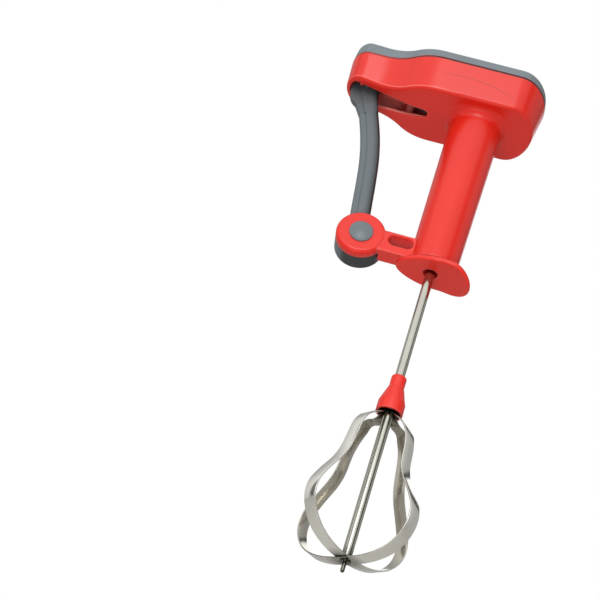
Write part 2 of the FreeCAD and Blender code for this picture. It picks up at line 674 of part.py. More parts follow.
def finger_guard():
    """Flange with its spigot, the slotted arm, and the boss over the lever's eye."""
    flange = guard_arch(guard_top_z, GUARD_THICKNESS).common(guard_plan())

    def on_rim(box):
        return box.ZLength < GUARD_THICKNESS - CURVE_SLACK and box.YLength < 1.5 * GUARD_HALF_WIDTH
    flange = rounded(flange, GUARD_EDGE_RADIUS, on_rim)
    arm_top = pivot_z + ARM_TOP_ABOVE_PIVOT
    arm_end = -GRIP_FOOT_DIAMETER / 4
    arm_low = guard_top_z - ARM_SINK
    front_half = block(pivot_x, arm_end, arm_front_y, boss_back_y, arm_low, arm_top)
    back_half = block(pivot_x, arm_end, boss_back_y, arm_back_y, arm_low, arm_top)
    sweep = cross_rod(DRUM_DIAMETER + 2 * EYE_RELIEF, pivot_x, pivot_z,
                      boss_back_y, arm_back_y)
    boss = cross_rod(DRUM_DIAMETER, pivot_x, pivot_z, DRUM_FRONT, boss_back_y)
    boss = rounded(boss, BOSS_EDGE_RADIUS, lies_at_depth(DRUM_FRONT))
    arm = front_half.fuse(back_half.cut(sweep))
    slot_x = pivot_x + ARM_SLOT_FROM_PIVOT
    slot_z = pivot_z + ARM_SLOT_ABOVE_PIVOT
    slot = stadium(slot_x, slot_z, ARM_SLOT_LENGTH, ARM_SLOT_HEIGHT, arm_front_y, arm_back_y)
    bevel = Part.makeLoft([
        stadium_wire(slot_x, slot_z, ARM_SLOT_LENGTH + 2 * ARM_SLOT_BEVEL,
                     ARM_SLOT_HEIGHT + 2 * ARM_SLOT_BEVEL, arm_front_y),
        stadium_wire(slot_x, slot_z, ARM_SLOT_LENGTH, ARM_SLOT_HEIGHT,
                     arm_front_y + ARM_SLOT_BEVEL)], True, True)
    spigot = rod(GRIP_BORE_DIAMETER - 2 * SPIGOT_CLEARANCE, 0, 0, guard_top_z, spigot_top_z)
    guard = boss.fuse([arm.cut(grip_body()), flange, spigot])
    pocket = turned_on_pivot([
        (SPRING_RADIUS - spring_room, boss_back_y), (SPRING_RADIUS + spring_room, boss_back_y),
        (SPRING_RADIUS + spring_room, boss_back_y - spring_depth),
        (SPRING_RADIUS - spring_room, boss_back_y - spring_depth)])
    return guard.cut([
        slot, bevel, pocket,
        leg_pocket(boss_back_y - spring_depth, boss_back_y, -leg_swing - leg_margin, leg_margin),
        cross_rod(PIVOT_DIAMETER + 2 * PRESS_CLEARANCE, pivot_x, pivot_z,
                  DRUM_FRONT, boss_back_y),
        cross_rod(BUTTON_STEM_DIAMETER + 2 * PRESS_CLEARANCE, pivot_x, pivot_z,
                  DRUM_FRONT, DRUM_FRONT + BUTTON_STEM_LENGTH),
        rod(GUARD_HOLE_DIAMETER, 0, 0, guard_bottom_z - OVERCUT, guard_bush_z),
        rod(BUSH_DIAMETER + 2 * PRESS_CLEARANCE, 0, 0, guard_bush_z, spigot_top_z),
    ]).removeSplitter()


def stadium_wire(x, z, length, height, y):
    """An oblong outline with round ends, in an upright plane."""
    straight = (length - height) / 2
    end = height / 2
    left = V(x - straight, y, z)
    right = V(x + straight, y, z)
    up = V(0, 0, end)
    side = V(end, 0, 0)
    return Part.Wire([
        line(left + up, right + up),
        Part.Arc(right + up, right + side, right - up).toShape(),
        line(right - up, left - up),
        Part.Arc(left - up, left - side, left + up).toShape(),
    ])


def stadium(x, z, length, height, near, far):
    """An oblong bar with round ends, parallel to Y."""
    return Part.Face(stadium_wire(x, z, length, height, near)).extrude(V(0, far - near, 0))


def leg_pocket(near, far, start_deg, end_deg):
    """Room for a spring's leg: a sector of a ring round the pivot, between two depths."""
    reach = math.hypot(SPRING_RADIUS, SPRING_LEG) + spring_room
    side = polygon_face([V(pivot_x + radius, depth, pivot_z) for radius, depth in (
        (SPRING_RADIUS, near), (reach, near), (reach, far), (SPRING_RADIUS, far))])
    side.rotate(pivot, Y_AXIS, start_deg)
    return side.revolve(pivot, Y_AXIS, end_deg - start_deg)


def pivot_pin():
    """Steel pin pressed into the boss, with a flat head behind the lever's eye."""
    radius = PIVOT_DIAMETER / 2
    head = PIVOT_HEAD_DIAMETER / 2
    seat = eye_back_y - PIVOT_HEAD_HEIGHT
    front = DRUM_FRONT + BUTTON_STEM_LENGTH + END_PLAY
    return turned_on_pivot([(0, front), (radius, front), (radius, seat), (head, seat),
                            (head, eye_back_y - PIVOT_HEAD_BEVEL),
                            (head - PIVOT_HEAD_BEVEL, eye_back_y), (0, eye_back_y)])


def pivot_button():
    """Grey button over the pivot: a stem in the boss and a low domed face."""
    stem = BUTTON_STEM_DIAMETER / 2
    radius = BUTTON_DIAMETER / 2
    rim = DRUM_FRONT - BUTTON_RIM
    crown = rim - BUTTON_CROWN
    shoulder = V(pivot_x + radius, rim, pivot_z)
    top = V(pivot_x, crown, pivot_z)
    dome = (radius ** 2 + BUTTON_CROWN ** 2) / (2 * BUTTON_CROWN)
    half_dome = math.asin(radius / dome) / 2
    bulge = V(pivot_x + dome * math.sin(half_dome),
              crown + dome * (1 - math.cos(half_dome)), pivot_z)
    back = V(pivot_x, DRUM_FRONT + BUTTON_STEM_LENGTH, pivot_z)
    wire = Part.Wire([
        line(back, back + V(stem, 0, 0)),
        line(back + V(stem, 0, 0), V(pivot_x + stem, DRUM_FRONT, pivot_z)),
        line(V(pivot_x + stem, DRUM_FRONT, pivot_z), V(pivot_x + radius, DRUM_FRONT, pivot_z)),
        line(V(pivot_x + radius, DRUM_FRONT, pivot_z), shoulder),
        Part.Arc(shoulder, bulge, top).toShape(),
        line(top, back),
    ])
    return Part.Face(wire).revolve(pivot, Y_AXIS, 360)


def return_spring():
    """Torsion coil round the pivot, with one straight leg in the boss and one in the eye."""
    height = SPRING_TURNS * SPRING_PITCH
    climb = SPRING_PITCH / (2 * math.pi * SPRING_RADIUS)
    last = 2 * math.pi * SPRING_TURNS
    start = V(SPRING_RADIUS, 0, 0)
    end = V(SPRING_RADIUS * math.cos(last), SPRING_RADIUS * math.sin(last), height)
    leg_start = start - V(0, 1, climb) * SPRING_LEG
    leg_end = end + V(-math.sin(last), math.cos(last), climb) * SPRING_LEG
    path = Part.Wire([line(leg_start, start)]
                     + Part.makeHelix(SPRING_PITCH, height, SPRING_RADIUS).Edges
                     + [line(end, leg_end)])
    level = V(SPRING_WIRE / 2, 0, 0)
    upright = V(0, -climb, 1).normalize() * (SPRING_WIRE / 2)
    corners = [leg_start + level * math.cos(angle) + upright * math.sin(angle)
               for angle in (2 * math.pi * side / WIRE_SIDES for side in range(WIRE_SIDES))]
    section = Part.makePolygon(corners + corners[:1])
    spring = path.makePipeShell([section], True, False)
    spring.rotate(V(0, 0, 0), V(1, 0, 0), -90)
    return moved(spring, pivot_x, boss_back_y + DRUM_GAP / 2 - height / 2, pivot_z)


# ------------------------------------------------------------------------ lever
def lever_station(height):
    """The lever's centre line at a height over the pivot: (x, z, lean)."""
    lean = math.radians(LEVER_LEAN_DEG)
    straight_x = -LEVER_FOOT_OFFSET - LEVER_STRAIGHT * math.sin(lean)
    straight_z = LEVER_STRAIGHT * math.cos(lean)
    if height <= straight_z:
        return -LEVER_FOOT_OFFSET - height * math.tan(lean), height, lean
    bent = math.asin((height - straight_z) / LEVER_BEND_RADIUS + math.sin(lean))
    return straight_x - LEVER_BEND_RADIUS * (math.cos(lean) - math.cos(bent)), height, bent


def lever_section(height, outer, inner, setback, corner):
    """A rounded section at a height over the pivot, between two offsets from the
    lever's centre line, and set back from the lever's full width on both sides."""
    x, z, lean = lever_station(height)
    share = height / neck_height
    width = LEVER_FOOT_WIDTH + (LEVER_HEAD_WIDTH - LEVER_FOOT_WIDTH) * share - 2 * setback
    foot_y = eye_front_y + LEVER_FOOT_WIDTH / 2
    inward = V(math.cos(lean), 0, math.sin(lean))
    centre = V(pivot_x + x, foot_y * (1 - share), pivot_z + z) + inward * ((outer + inner) / 2)
    across = inward * ((inner - outer) / 2)
    deep = V(0, width / 2, 0)
    corner_x = across - inward * corner
    corner_y = deep * (1 - 2 * corner / width)
    edges = []
    for a, b in ((1, 1), (-1, 1), (-1, -1), (1, -1)):
        first, second = (corner_x, corner_y) if a * b > 0 else (corner_y, corner_x)
        start = centre + (across * a + corner_y * b if a * b > 0 else corner_x * a + deep * b)
        end = centre + (corner_x * a + deep * b if a * b > 0 else across * a + corner_y * b)
        edges.append(quarter(start, centre + across * a + deep * b, end))
    joined = []
    for index, edge in enumerate(edges):
        following = edges[(index + 1) % 4]
        joined += [edge, line(edge.Vertexes[-1].Point, following.Vertexes[0].Point)]
    return Part.Wire(joined)


def lever_head():
    """The flat head: a heel bulging outward, a square top and a short toe."""
    top = pin_z + HEAD_ABOVE_PIN
    neck_x, neck_z, lean = lever_station(neck_height)
    across_x = math.cos(lean) * LEVER_THICKNESS / 2
    across_z = math.sin(lean) * LEVER_THICKNESS / 2
    neck = V(pivot_x + neck_x, 0, pivot_z + neck_z)
    outer = V(neck.x - across_x, 0, neck.z - across_z)
    inner = V(neck.x + across_x, 0, neck.z + across_z)
    heel_root = V(pin_x - HEAD_ABOVE_PIN, 0, pin_z - HEEL_ROOT_BELOW_PIN)
    heel_low = V(pin_x - HEEL_OUTWARD, 0, pin_z - HEEL_BELOW_PIN)
    crown_x = pin_x - HEEL_OUTWARD + HEAD_CORNER
    crown_rise = math.sqrt(head_reach ** 2 - (crown_x - pivot_x) ** 2)
    crown_outer = V(crown_x, 0, pivot_z + crown_rise)
    crown_middle = V(pin_x, 0, top)
    heel_top = V(pin_x - HEEL_OUTWARD, 0, crown_outer.z - HEAD_CORNER)
    crown_inner = V(pin_x + TOE_INWARD - HEAD_CORNER, 0, top)
    toe_top = V(pin_x + TOE_INWARD, 0, top - HEAD_CORNER)
    toe_low = V(pin_x + TOE_INWARD, 0, pin_z - TOE_BELOW_PIN)
    heel_corner = V(heel_low.x, 0, heel_root.z + HEEL_SWELL)
    wire = Part.Wire([
        line(inner, outer),
        line(outer, heel_root),
        quarter(heel_root, heel_corner, heel_low),
        line(heel_low, heel_top),
        quarter(heel_top, V(heel_top.x, 0, crown_outer.z), crown_outer),
        line(crown_outer, crown_middle),
        line(crown_middle, crown_inner),
        quarter(crown_inner, V(toe_top.x, 0, top), toe_top),
        line(toe_top, toe_low),
        line(toe_low, inner),
    ])
    wire.translate(V(0, -LEVER_HEAD_WIDTH / 2, 0))
    head = Part.Face(wire).extrude(V(0, LEVER_HEAD_WIDTH, 0))

    def on_side(box):
        return box.YLength < EDGE_SLACK and box.ZMax > heel_root.z - CURVE_SLACK
    head = rounded(head, HEAD_EDGE_RADIUS, on_side)
    inward = V(math.cos(lean), 0, math.sin(lean))
    upward = V(-math.sin(lean), 0, math.cos(lean))
    band_foot = neck + inward * lever_band_edge - upward * OVERCUT
    band_top = band_foot + upward * LEVER_NECK_BELOW_PIN * 2
    side = LEVER_HEAD_WIDTH / 2 - LEVER_BAND_SETBACK
    beyond = inward * -LEVER_NECK_BELOW_PIN
    rebate = polygon_face([point + V(0, side, 0) for point in (
        band_foot, band_top, band_top + beyond, band_foot + beyond)])
    rebate = rebate.extrude(V(0, LEVER_BAND_SETBACK, 0))
    return head.cut([rebate, rebate.mirror(V(0, 0, 0), Y_AXIS)])


def squeeze_lever():
    """Squeeze lever: pivot eye, curved handle and flat head, one moulding."""
    straight_z = LEVER_STRAIGHT * math.cos(math.radians(LEVER_LEAN_DEG))
    bend = neck_height - straight_z
    heights = [LEVER_THICKNESS / 2, straight_z / 2, straight_z,
               straight_z + bend / 3, straight_z + 2 * bend / 3, neck_height]
    bar = Part.makeLoft([
        lever_section(height, lever_band_edge, LEVER_THICKNESS / 2, 0, LEVER_CORNER_RADIUS)
        for height in heights], True)
    band = Part.makeLoft([
        lever_section(height, -LEVER_THICKNESS / 2, lever_band_edge + LEVER_BAND,
                      LEVER_BAND_SETBACK, LEVER_BAND_CORNER) for height in heights], True)
    eye = cross_rod(DRUM_DIAMETER, pivot_x, pivot_z, eye_front_y, eye_back_y)
    eye = rounded(eye, EYE_EDGE_RADIUS, lies_at_depth(eye_back_y))
    lever = eye.fuse([bar, band, lever_head()])
    coil = turned_on_pivot([
        (SPRING_RADIUS - spring_room, boss_back_y), (SPRING_RADIUS + spring_room, boss_back_y),
        (SPRING_RADIUS + spring_room, eye_front_y + spring_depth),
        (SPRING_RADIUS - spring_room, eye_front_y + spring_depth)])
    leg_deg = 360 * (SPRING_TURNS % 1)
    leg_room = leg_pocket(boss_back_y, eye_front_y + spring_depth,
                          leg_deg - LEVER_TRAVEL_DEG - leg_margin,
                          leg_deg + leg_swing + leg_margin)
    head_room = PIVOT_HEAD_DIAMETER + 2 * RUNNING_CLEARANCE
    return lever.cut([
        coil, leg_room,
        cross_rod(PIVOT_DIAMETER + 2 * RUNNING_CLEARANCE, pivot_x, pivot_z,
                  eye_front_y, eye_back_y),
        cross_rod(head_room, pivot_x, pivot_z,
                  eye_back_y - PIVOT_HEAD_HEIGHT - END_PLAY, eye_back_y),
        cross_rod(PIN_DIAMETER + 2 * PRESS_CLEARANCE, pin_x, pin_z,
                  -LEVER_HEAD_WIDTH, LEVER_HEAD_WIDTH),
    ]).removeSplitter()


def drive_pin():
    """Cross pin through the lever's head, which works in the yoke's slots."""
    reach = LEVER_HEAD_WIDTH / 2 + YOKE_GAP + YOKE_CHEEK - END_PLAY
    bevel = PIN_DIAMETER / 10
    pin = cross_rod(PIN_DIAMETER, pin_x, pin_z, -reach, reach)
    return pin.makeChamfer(bevel, [edge for edge in pin.Edges if edge.BoundBox.YLength < EDGE_SLACK])


# ---------------------------------------------------------------- rack and gears
def rack_slider():
    """Toothed bar with a yoke over the lever's head."""
    flare = math.tan(math.radians(PRESSURE_ANGLE_DEG))
    thick = rack_pitch / 4 - TOOTH_BACKLASH / 4
    tip_y = rack_pitch_y + STUB_ADDENDUM * RACK_MODULE
    tip_half = thick - STUB_ADDENDUM * RACK_MODULE * flare
    root_half = thick + ROOT_DEPTH * RACK_MODULE * flare
    outline = [(yoke_rear_x - YOKE_HALF_LENGTH, rack_back_y), (rack_end_x, rack_back_y),
               (rack_end_x, rack_root_y)]
    for tooth in range(RACK_TEETH):
        x = first_tooth_x - tooth * rack_pitch
        outline += [(x + root_half, rack_root_y), (x + tip_half, tip_y),
                    (x - tip_half, tip_y), (x - root_half, rack_root_y)]
    outline.append((yoke_rear_x - YOKE_HALF_LENGTH, rack_root_y))
    bar = polygon_face([V(x, y, rack_bottom_z) for x, y in outline])
    bar = bar.extrude(V(0, 0, RACK_HEIGHT))
    cheek_y = LEVER_HEAD_WIDTH / 2 + YOKE_GAP
    front_x = pin_x - YOKE_HALF_LENGTH
    cheek_z = rack_bottom_z + YOKE_LIFT
    cheeks = [block(front_x, yoke_rear_x, rack_back_y, -cheek_y, cheek_z, yoke_top_z),
              block(front_x, yoke_rear_x, cheek_y, cheek_y + YOKE_CHEEK, cheek_z, yoke_top_z),
              block(front_x, yoke_rear_x, rack_back_y, cheek_y + YOKE_CHEEK,
                    bridge_z, yoke_top_z)]
    slider = cheeks[0].fuse(cheeks[1:])
    slot_half = pin_radius + PIN_SLOT_CLEARANCE
    slot_top = pivot_z + pin_reach + pin_radius + PIN_SLOT_CLEARANCE
    slot = block(pin_x - slot_half, pin_x + slot_half, rack_back_y + YOKE_SKIN,
                 cheek_y + YOKE_CHEEK, rack_bottom_z, slot_top)
    slider = slider.cut(slot)
    low_corner = block(front_x, yoke_rear_x, rack_back_y, cheek_y, rack_bottom_z, cheek_z)
    return slider.fuse(bar.cut([slot, low_corner])).removeSplitter()


def involute(angle):
    """The involute function of a pressure angle in radians."""
    return math.tan(angle) - angle


def gear(x, teeth, module, first_deg, low, height):
    """A spur gear blank with stub involute teeth, standing on a Z axis."""
    pitch_radius = module * teeth / 2
    pressure = math.radians(PRESSURE_ANGLE_DEG)
    base_radius = pitch_radius * math.cos(pressure)
    root_radius = pitch_radius - ROOT_DEPTH * module
    tip_radius = pitch_radius + STUB_ADDENDUM * module
    half_tooth = (math.pi * module - TOOTH_BACKLASH) / (4 * pitch_radius)
    start = max(base_radius, root_radius)
    flank = []
    for step in range(FLANK_STEPS + 1):
        radius = start + (tip_radius - start) * step / FLANK_STEPS
        angle = half_tooth + involute(pressure) - involute(math.acos(base_radius / radius))
        flank.append((radius, angle))
    if root_radius < base_radius:
        flank.insert(0, (root_radius, flank[0][1]))
    points = []
    for tooth in range(teeth):
        middle = math.radians(first_deg) + 2 * math.pi * tooth / teeth
        rise = [(radius, middle - angle) for radius, angle in flank]
        fall = [(radius, middle + angle) for radius, angle in reversed(flank)]
        points += [V(x + radius * math.cos(angle), radius * math.sin(angle), low)
                   for radius, angle in rise + fall]
    return polygon_face(points).extrude(V(0, 0, height))


def compound_gear():
    """Small gear in mesh with the rack and large gear above it, one moulding."""
    small = gear(idler_x, SMALL_GEAR_TEETH, RACK_MODULE, 0, rack_bottom_z, RACK_HEIGHT)
    large = gear(idler_x, LARGE_GEAR_TEETH, GEAR_MODULE, 0, large_gear_z, LARGE_GEAR_THICKNESS)
    hub = rod(IDLER_AXLE_DIAMETER + 2 * GEAR_HUB_WALL, idler_x, 0, rack_bottom_z,
              plate_z - GEAR_END_GAP)
    groove_outer = 2 * (large_gear_radius - GEAR_RIM)
    groove_inner = IDLER_AXLE_DIAMETER + 2 * GEAR_HUB_WALL + 2 * GEAR_RIM
    groove = rod(groove_outer, idler_x, 0, large_gear_top_z - GEAR_GROOVE_DEPTH, large_gear_top_z)
    groove = groove.cut(rod(groove_inner, idler_x, 0, large_gear_z, large_gear_top_z))
    bore = rod(IDLER_AXLE_DIAMETER + 2 * RUNNING_CLEARANCE, idler_x, 0,
               rack_bottom_z, plate_z)
    return small.fuse([large, hub]).cut([groove, bore]).removeSplitter()


def idler_axle():
    """Steel axle of the gear pair, held in the housing's boss and the bearing plate."""
    return rod(IDLER_AXLE_DIAMETER, idler_x, 0, rack_bottom_z - AXLE_SEAT, plate_top_z)


def shaft_pinion():
    """Brass pinion pressed on the shaft's upper seat."""
    blank = gear(0, SHAFT_PINION_TEETH, GEAR_MODULE, 180 / SHAFT_PINION_TEETH,
                 pinion_z, SHAFT_PINION_HEIGHT)
    return blank.cut(rod(SHAFT_SEAT_DIAMETER + 2 * PRESS_CLEARANCE, 0, 0,
                         pinion_z, pinion_z + SHAFT_PINION_HEIGHT))


def bearing_plate():
    """Stamped plate on four posts that steadies the shaft and the idler's axle."""
    corners = [(PLATE_POST_X_FRONT, -PLATE_POST_Y_FRONT), (PLATE_POST_X_REAR, -PLATE_POST_Y_REAR),
               (PLATE_POST_X_REAR, PLATE_POST_Y_REAR), (PLATE_POST_X_FRONT, PLATE_POST_Y_FRONT)]
    plate = polygon_face([V(x, y, plate_z) for x, y in corners])
    plate = plate.extrude(V(0, 0, PLATE_THICKNESS))
    lobes = [rod(2 * PLATE_MARGIN, x, y, plate_z, plate_top_z) for x, y in plate_posts]
    holes = [rod(PLATE_SCREW_DIAMETER, x, y, plate_z, plate_top_z) for x, y in plate_posts]
    holes.append(rod(SHAFT_SEAT_DIAMETER + 2 * RUNNING_CLEARANCE, 0, 0, plate_z, plate_top_z))
    holes.append(rod(IDLER_AXLE_DIAMETER + 2 * PRESS_CLEARANCE, idler_x, 0,
                     plate_z, plate_top_z))
    return plate.fuse(lobes).cut(holes).removeSplitter()


def plate_screws():
    """Four screws through the bearing plate into its posts."""
    return Part.makeCompound([
        pan_screw(x, y, plate_top_z, PLATE_SCREW_DIAMETER - 2 * PRESS_CLEARANCE,
                  PLATE_SCREW_LENGTH - END_PLAY, PLATE_SCREW_HEAD_DIAMETER,
                  PLATE_SCREW_HEAD_HEIGHT) for x, y in plate_posts])


# ------------------------------------------------------------- shaft and bushes
def flanged_bush(low, seat):
    """A bush that fills its hole from low to its seat, with a flange on the seat."""
    bush = rod(BUSH_DIAMETER, 0, 0, low, seat)
    flange = rod(BUSH_FLANGE_DIAMETER, 0, 0, seat, seat + BUSH_FLANGE_THICKNESS)
    bore = rod(SHAFT_DIAMETER + 2 * RUNNING_CLEARANCE, 0, 0, low, seat + BUSH_FLANGE_THICKNESS)
    return bush.fuse(flange).cut(bore).removeSplitter()


def upper_bush():
    """Bearing bush in the web between the gear chamber and the grip's bore."""
    return flanged_bush(web_bottom_z, floor_z)


def lower_bush():
    """Bearing bush in the guard's spigot."""
    return flanged_bush(guard_bush_z, spigot_top_z)


def thrust_washer():
    """Washer that carries the shaft's clip on the upper bush."""
    low = bush_top_z + END_PLAY
    return rod(CLIP_DIAMETER, 0, 0, low, low + WASHER_THICKNESS).cut(
        rod(SHAFT_DIAMETER + 2 * RUNNING_CLEARANCE, 0, 0, low, low + WASHER_THICKNESS))


def clip_levels():
    """Heights of the clips over the washer and under the upper bush."""
    return (bush_top_z + 2 * END_PLAY + WASHER_THICKNESS,
            web_bottom_z - END_PLAY - CLIP_THICKNESS)


def shaft_clips():
    """Two snap clips in the shaft's grooves."""
    groove = SHAFT_DIAMETER - 2 * CLIP_GROOVE_DEPTH + 2 * PRESS_CLEARANCE
    reach = CLIP_DIAMETER * math.tan(math.radians(CLIP_MOUTH_DEG / 2))
    clips = []
    for low in clip_levels():
        top = low + CLIP_THICKNESS
        ring = rod(CLIP_DIAMETER, 0, 0, low, top).cut(rod(groove, 0, 0, low, top))
        opening = polygon_face([V(0, 0, low), V(CLIP_DIAMETER, -reach, low),
                                V(CLIP_DIAMETER, reach, low)])
        clips.append(ring.cut(opening.extrude(V(0, 0, CLIP_THICKNESS))))
    return Part.makeCompound(clips)


def drive_shaft():
    """Steel shaft from the pinion's seat down to the thin tip under the whisk."""
    seat = SHAFT_SEAT_DIAMETER / 2
    tip = TIP_DIAMETER / 2
    tip_z = whisk_foot_z - TIP_LENGTH
    groove = shaft_radius - CLIP_GROOVE_DEPTH
    profile = [(0, tip_z), (tip - TIP_ROUND / 2, tip_z), (tip, tip_z + TIP_ROUND),
               (tip, shaft_foot_z), (shaft_radius, shaft_foot_z)]
    for low in sorted(clip_levels()):
        top = low + CLIP_THICKNESS
        profile += [(shaft_radius, low), (groove, low), (groove, top), (shaft_radius, top)]
    profile += [(shaft_radius, pinion_z), (seat, pinion_z), (seat, plate_top_z), (0, plate_top_z)]
    return turned(profile)


# ----------------------------------------------------------------------- whisk
def whisk_collar():
    """Moulded cone that joins the whisk to the shaft, with an open mouth below."""
    base = COLLAR_BASE_DIAMETER / 2
    top = COLLAR_TOP_DIAMETER / 2
    cone_top = COLLAR_HEIGHT - COLLAR_NECK
    cone = turned([(0, 0), (base, 0), (base, COLLAR_SKIRT), (top, cone_top),
                   (top, COLLAR_HEIGHT), (0, COLLAR_HEIGHT)], 0, collar_base_z)
    cone = rounded(cone, COLLAR_EDGE_RADIUS, lies_at_height(collar_top_z))
    cone = rounded(cone, COLLAR_SHOULDER_RADIUS, lies_at_height(collar_base_z + COLLAR_SKIRT))
    mouth_radius = COLLAR_MOUTH_DIAMETER / 2
    seat = ferrule_bore + FERRULE_WALL + PRESS_CLEARANCE
    seat_top = COLLAR_MOUTH_DEPTH + 2 * END_PLAY + FERRULE_HEIGHT
    tang_top = TANG_LENGTH + END_PLAY
    bore = shaft_radius + PRESS_CLEARANCE
    hollow = turned([(0, 0), (mouth_radius, 0), (mouth_radius, COLLAR_MOUTH_DEPTH),
                     (seat, COLLAR_MOUTH_DEPTH), (seat, seat_top), (ferrule_bore, seat_top),
                     (ferrule_bore, tang_top), (bore, tang_top), (bore, COLLAR_HEIGHT),
                     (0, COLLAR_HEIGHT)], 0, collar_base_z)
    return cone.cut(hollow)


def whisk_ferrule():
    """Steel ring that holds the strips' four tangs to the shaft."""
    top = ferrule_z + FERRULE_HEIGHT
    return rod(2 * (ferrule_bore + FERRULE_WALL), 0, 0, ferrule_z, top).cut(
        rod(2 * ferrule_bore, 0, 0, ferrule_z, top))


def arc_stations(bends):
    """Start, middle and end of the tangent arcs, two for each bend, that join points
    with given directions.  Each station is a point and the direction there."""
    stations = [bends[0]]
    for (start, leaving), (end, arriving) in zip(bends, bends[1:]):
        chord = end - start
        both = chord.dot(leaving + arriving)
        spread = 2 * (1 - leaving.dot(arriving))
        reach = chord.dot(chord) / (both + math.sqrt(both ** 2 + spread * chord.dot(chord)))
        joint = (start + end + (leaving - arriving) * reach) * 0.5
        across = (end - arriving * reach - start - leaving * reach).normalize()
        for first, second, corner, last in (
                (start, joint, start + leaving * reach, across),
                (joint, end, end - arriving * reach, arriving)):
            half = (second - first).Length / 2 / reach
            centre = (first + second) * 0.5
            stations.append((centre + (corner - centre) * (half / (1 + half)),
                             (second - first).normalize()))
            stations.append((second, last))
    return stations


def strip_loop(bend, foot_shift, turn_deg):
    """One flat strip bent into a loop, from tang to tang under the shaft's foot."""
    top = collar_base_z + TANG_BEND_LENGTH
    side = [V(share * WHISK_HALF_WIDTH, 0, whisk_foot_z + rise * WHISK_LENGTH)
            for share, rise in bend] + [V(tang_radius, 0, top)]
    other = [V(-point.x, 0, point.z) for point in reversed(side)]
    middle = Part.BSplineCurve()
    middle.interpolate(Points=other + [V(0, 0, whisk_foot_z + foot_shift)] + side,
                       InitialTangent=V(0, 0, -1), FinalTangent=V(0, 0, 1))
    stations = arc_stations([(middle.value(at), middle.tangent(at)[0])
                             for at in middle.getKnots()])
    faces = [[point + V(-along.z, 0, along.x) * shift for point, along in stations]
             for shift in (STRIP_THICKNESS / 2, -STRIP_THICKNESS / 2)]
    edges = [Part.Arc(*face[start:start + 3]).toShape()
             for face in faces for start in range(0, len(face) - 1, 2)]
    tang_top = V(0, 0, TANG_LENGTH - TANG_BEND_LENGTH)
    for first, second in ((faces[0][0], faces[1][0]), (faces[1][-1], faces[0][-1])):
        edges += [line(first, first + tang_top), line(first + tang_top, second + tang_top),
                  line(second + tang_top, second)]
    wire = Part.Wire(Part.__sortEdges__(edges))
    wire.translate(V(0, -STRIP_WIDTH / 2, 0))
    loop = Part.Face(wire).extrude(V(0, STRIP_WIDTH, 0))
    half = STRIP_WIDTH / 2
    tang = TANG_WIDTH / 2
    low = whisk_foot_z - STRIP_WIDTH
    taper = collar_base_z - TAPER_LENGTH
    high = collar_base_z + TANG_LENGTH
    plan = [V(-WHISK_LENGTH, y, z) for y, z in (
        (-half, low), (half, low), (half, taper), (tang, collar_base_z), (tang, high),
        (-tang, high), (-tang, collar_base_z), (-half, taper))]
    loop = loop.common(polygon_face(plan).extrude(V(2 * WHISK_LENGTH, 0, 0)))
    loop = loop.cut(rod(TIP_HOLE_DIAMETER, 0, 0, low, shaft_foot_z))
    loop.rotate(V(0, 0, 0), Z_AXIS, turn_deg)
    return loop


def inner_loop():
    """The strip whose foot lies on top."""
    return strip_loop(INNER_BEND, (STRIP_GAP + STRIP_THICKNESS) / 2, INNER_LOOP_TURN_DEG)


def outer_loop():
    """The strip whose foot lies under the other's."""
    return strip_loop(OUTER_BEND, -(STRIP_GAP + STRIP_THICKNESS) / 2, OUTER_LOOP_TURN_DEG)


def tip_washer():
    """Washer riveted on the shaft's tip, under both strips."""
    top = whisk_foot_z - STRIP_GAP / 2 - STRIP_THICKNESS - PRESS_CLEARANCE
    low = top - TIP_WASHER_THICKNESS
    return rod(TIP_WASHER_DIAMETER, 0, 0, low, top).cut(
        rod(TIP_DIAMETER + 2 * PRESS_CLEARANCE, 0, 0, low, top))


PIECES = (
    gear_housing, top_cover, cover_screws, bearing_plate, plate_screws, finger_guard,
    upper_bush, lower_bush, idler_axle, pivot_pin, pivot_button, return_spring,
    squeeze_lever, drive_pin, rack_slider, compound_gear, drive_shaft, shaft_pinion,
    thrust_washer, shaft_clips, whisk_collar, whisk_ferrule, inner_loop, outer_loop,
    tip_washer,
)

os.makedirs("parts", exist_ok=True)
for piece in PIECES:
    shape = piece()
    shape.exportStep("parts/" + piece.__name__ + ".step")
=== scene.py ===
import bpy
import bmesh
import math
from mathutils import Matrix, Vector


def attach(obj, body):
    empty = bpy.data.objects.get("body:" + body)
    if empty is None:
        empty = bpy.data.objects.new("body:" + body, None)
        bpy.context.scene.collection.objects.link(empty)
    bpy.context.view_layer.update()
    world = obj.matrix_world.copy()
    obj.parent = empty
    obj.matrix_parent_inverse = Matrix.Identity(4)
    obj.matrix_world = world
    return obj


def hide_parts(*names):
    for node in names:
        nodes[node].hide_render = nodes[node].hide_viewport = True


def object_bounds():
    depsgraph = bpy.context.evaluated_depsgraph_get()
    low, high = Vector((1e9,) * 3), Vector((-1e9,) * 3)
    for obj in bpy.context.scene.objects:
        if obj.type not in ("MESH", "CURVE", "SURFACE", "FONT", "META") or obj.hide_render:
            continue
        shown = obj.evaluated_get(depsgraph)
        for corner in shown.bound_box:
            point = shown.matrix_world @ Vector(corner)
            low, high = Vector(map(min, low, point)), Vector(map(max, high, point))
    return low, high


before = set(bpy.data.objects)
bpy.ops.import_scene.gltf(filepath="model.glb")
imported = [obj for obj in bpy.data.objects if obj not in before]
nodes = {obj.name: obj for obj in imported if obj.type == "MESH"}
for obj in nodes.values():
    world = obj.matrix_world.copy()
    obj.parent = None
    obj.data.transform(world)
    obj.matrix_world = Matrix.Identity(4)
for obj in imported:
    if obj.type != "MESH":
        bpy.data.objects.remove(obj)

cad_low, cad_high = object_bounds()


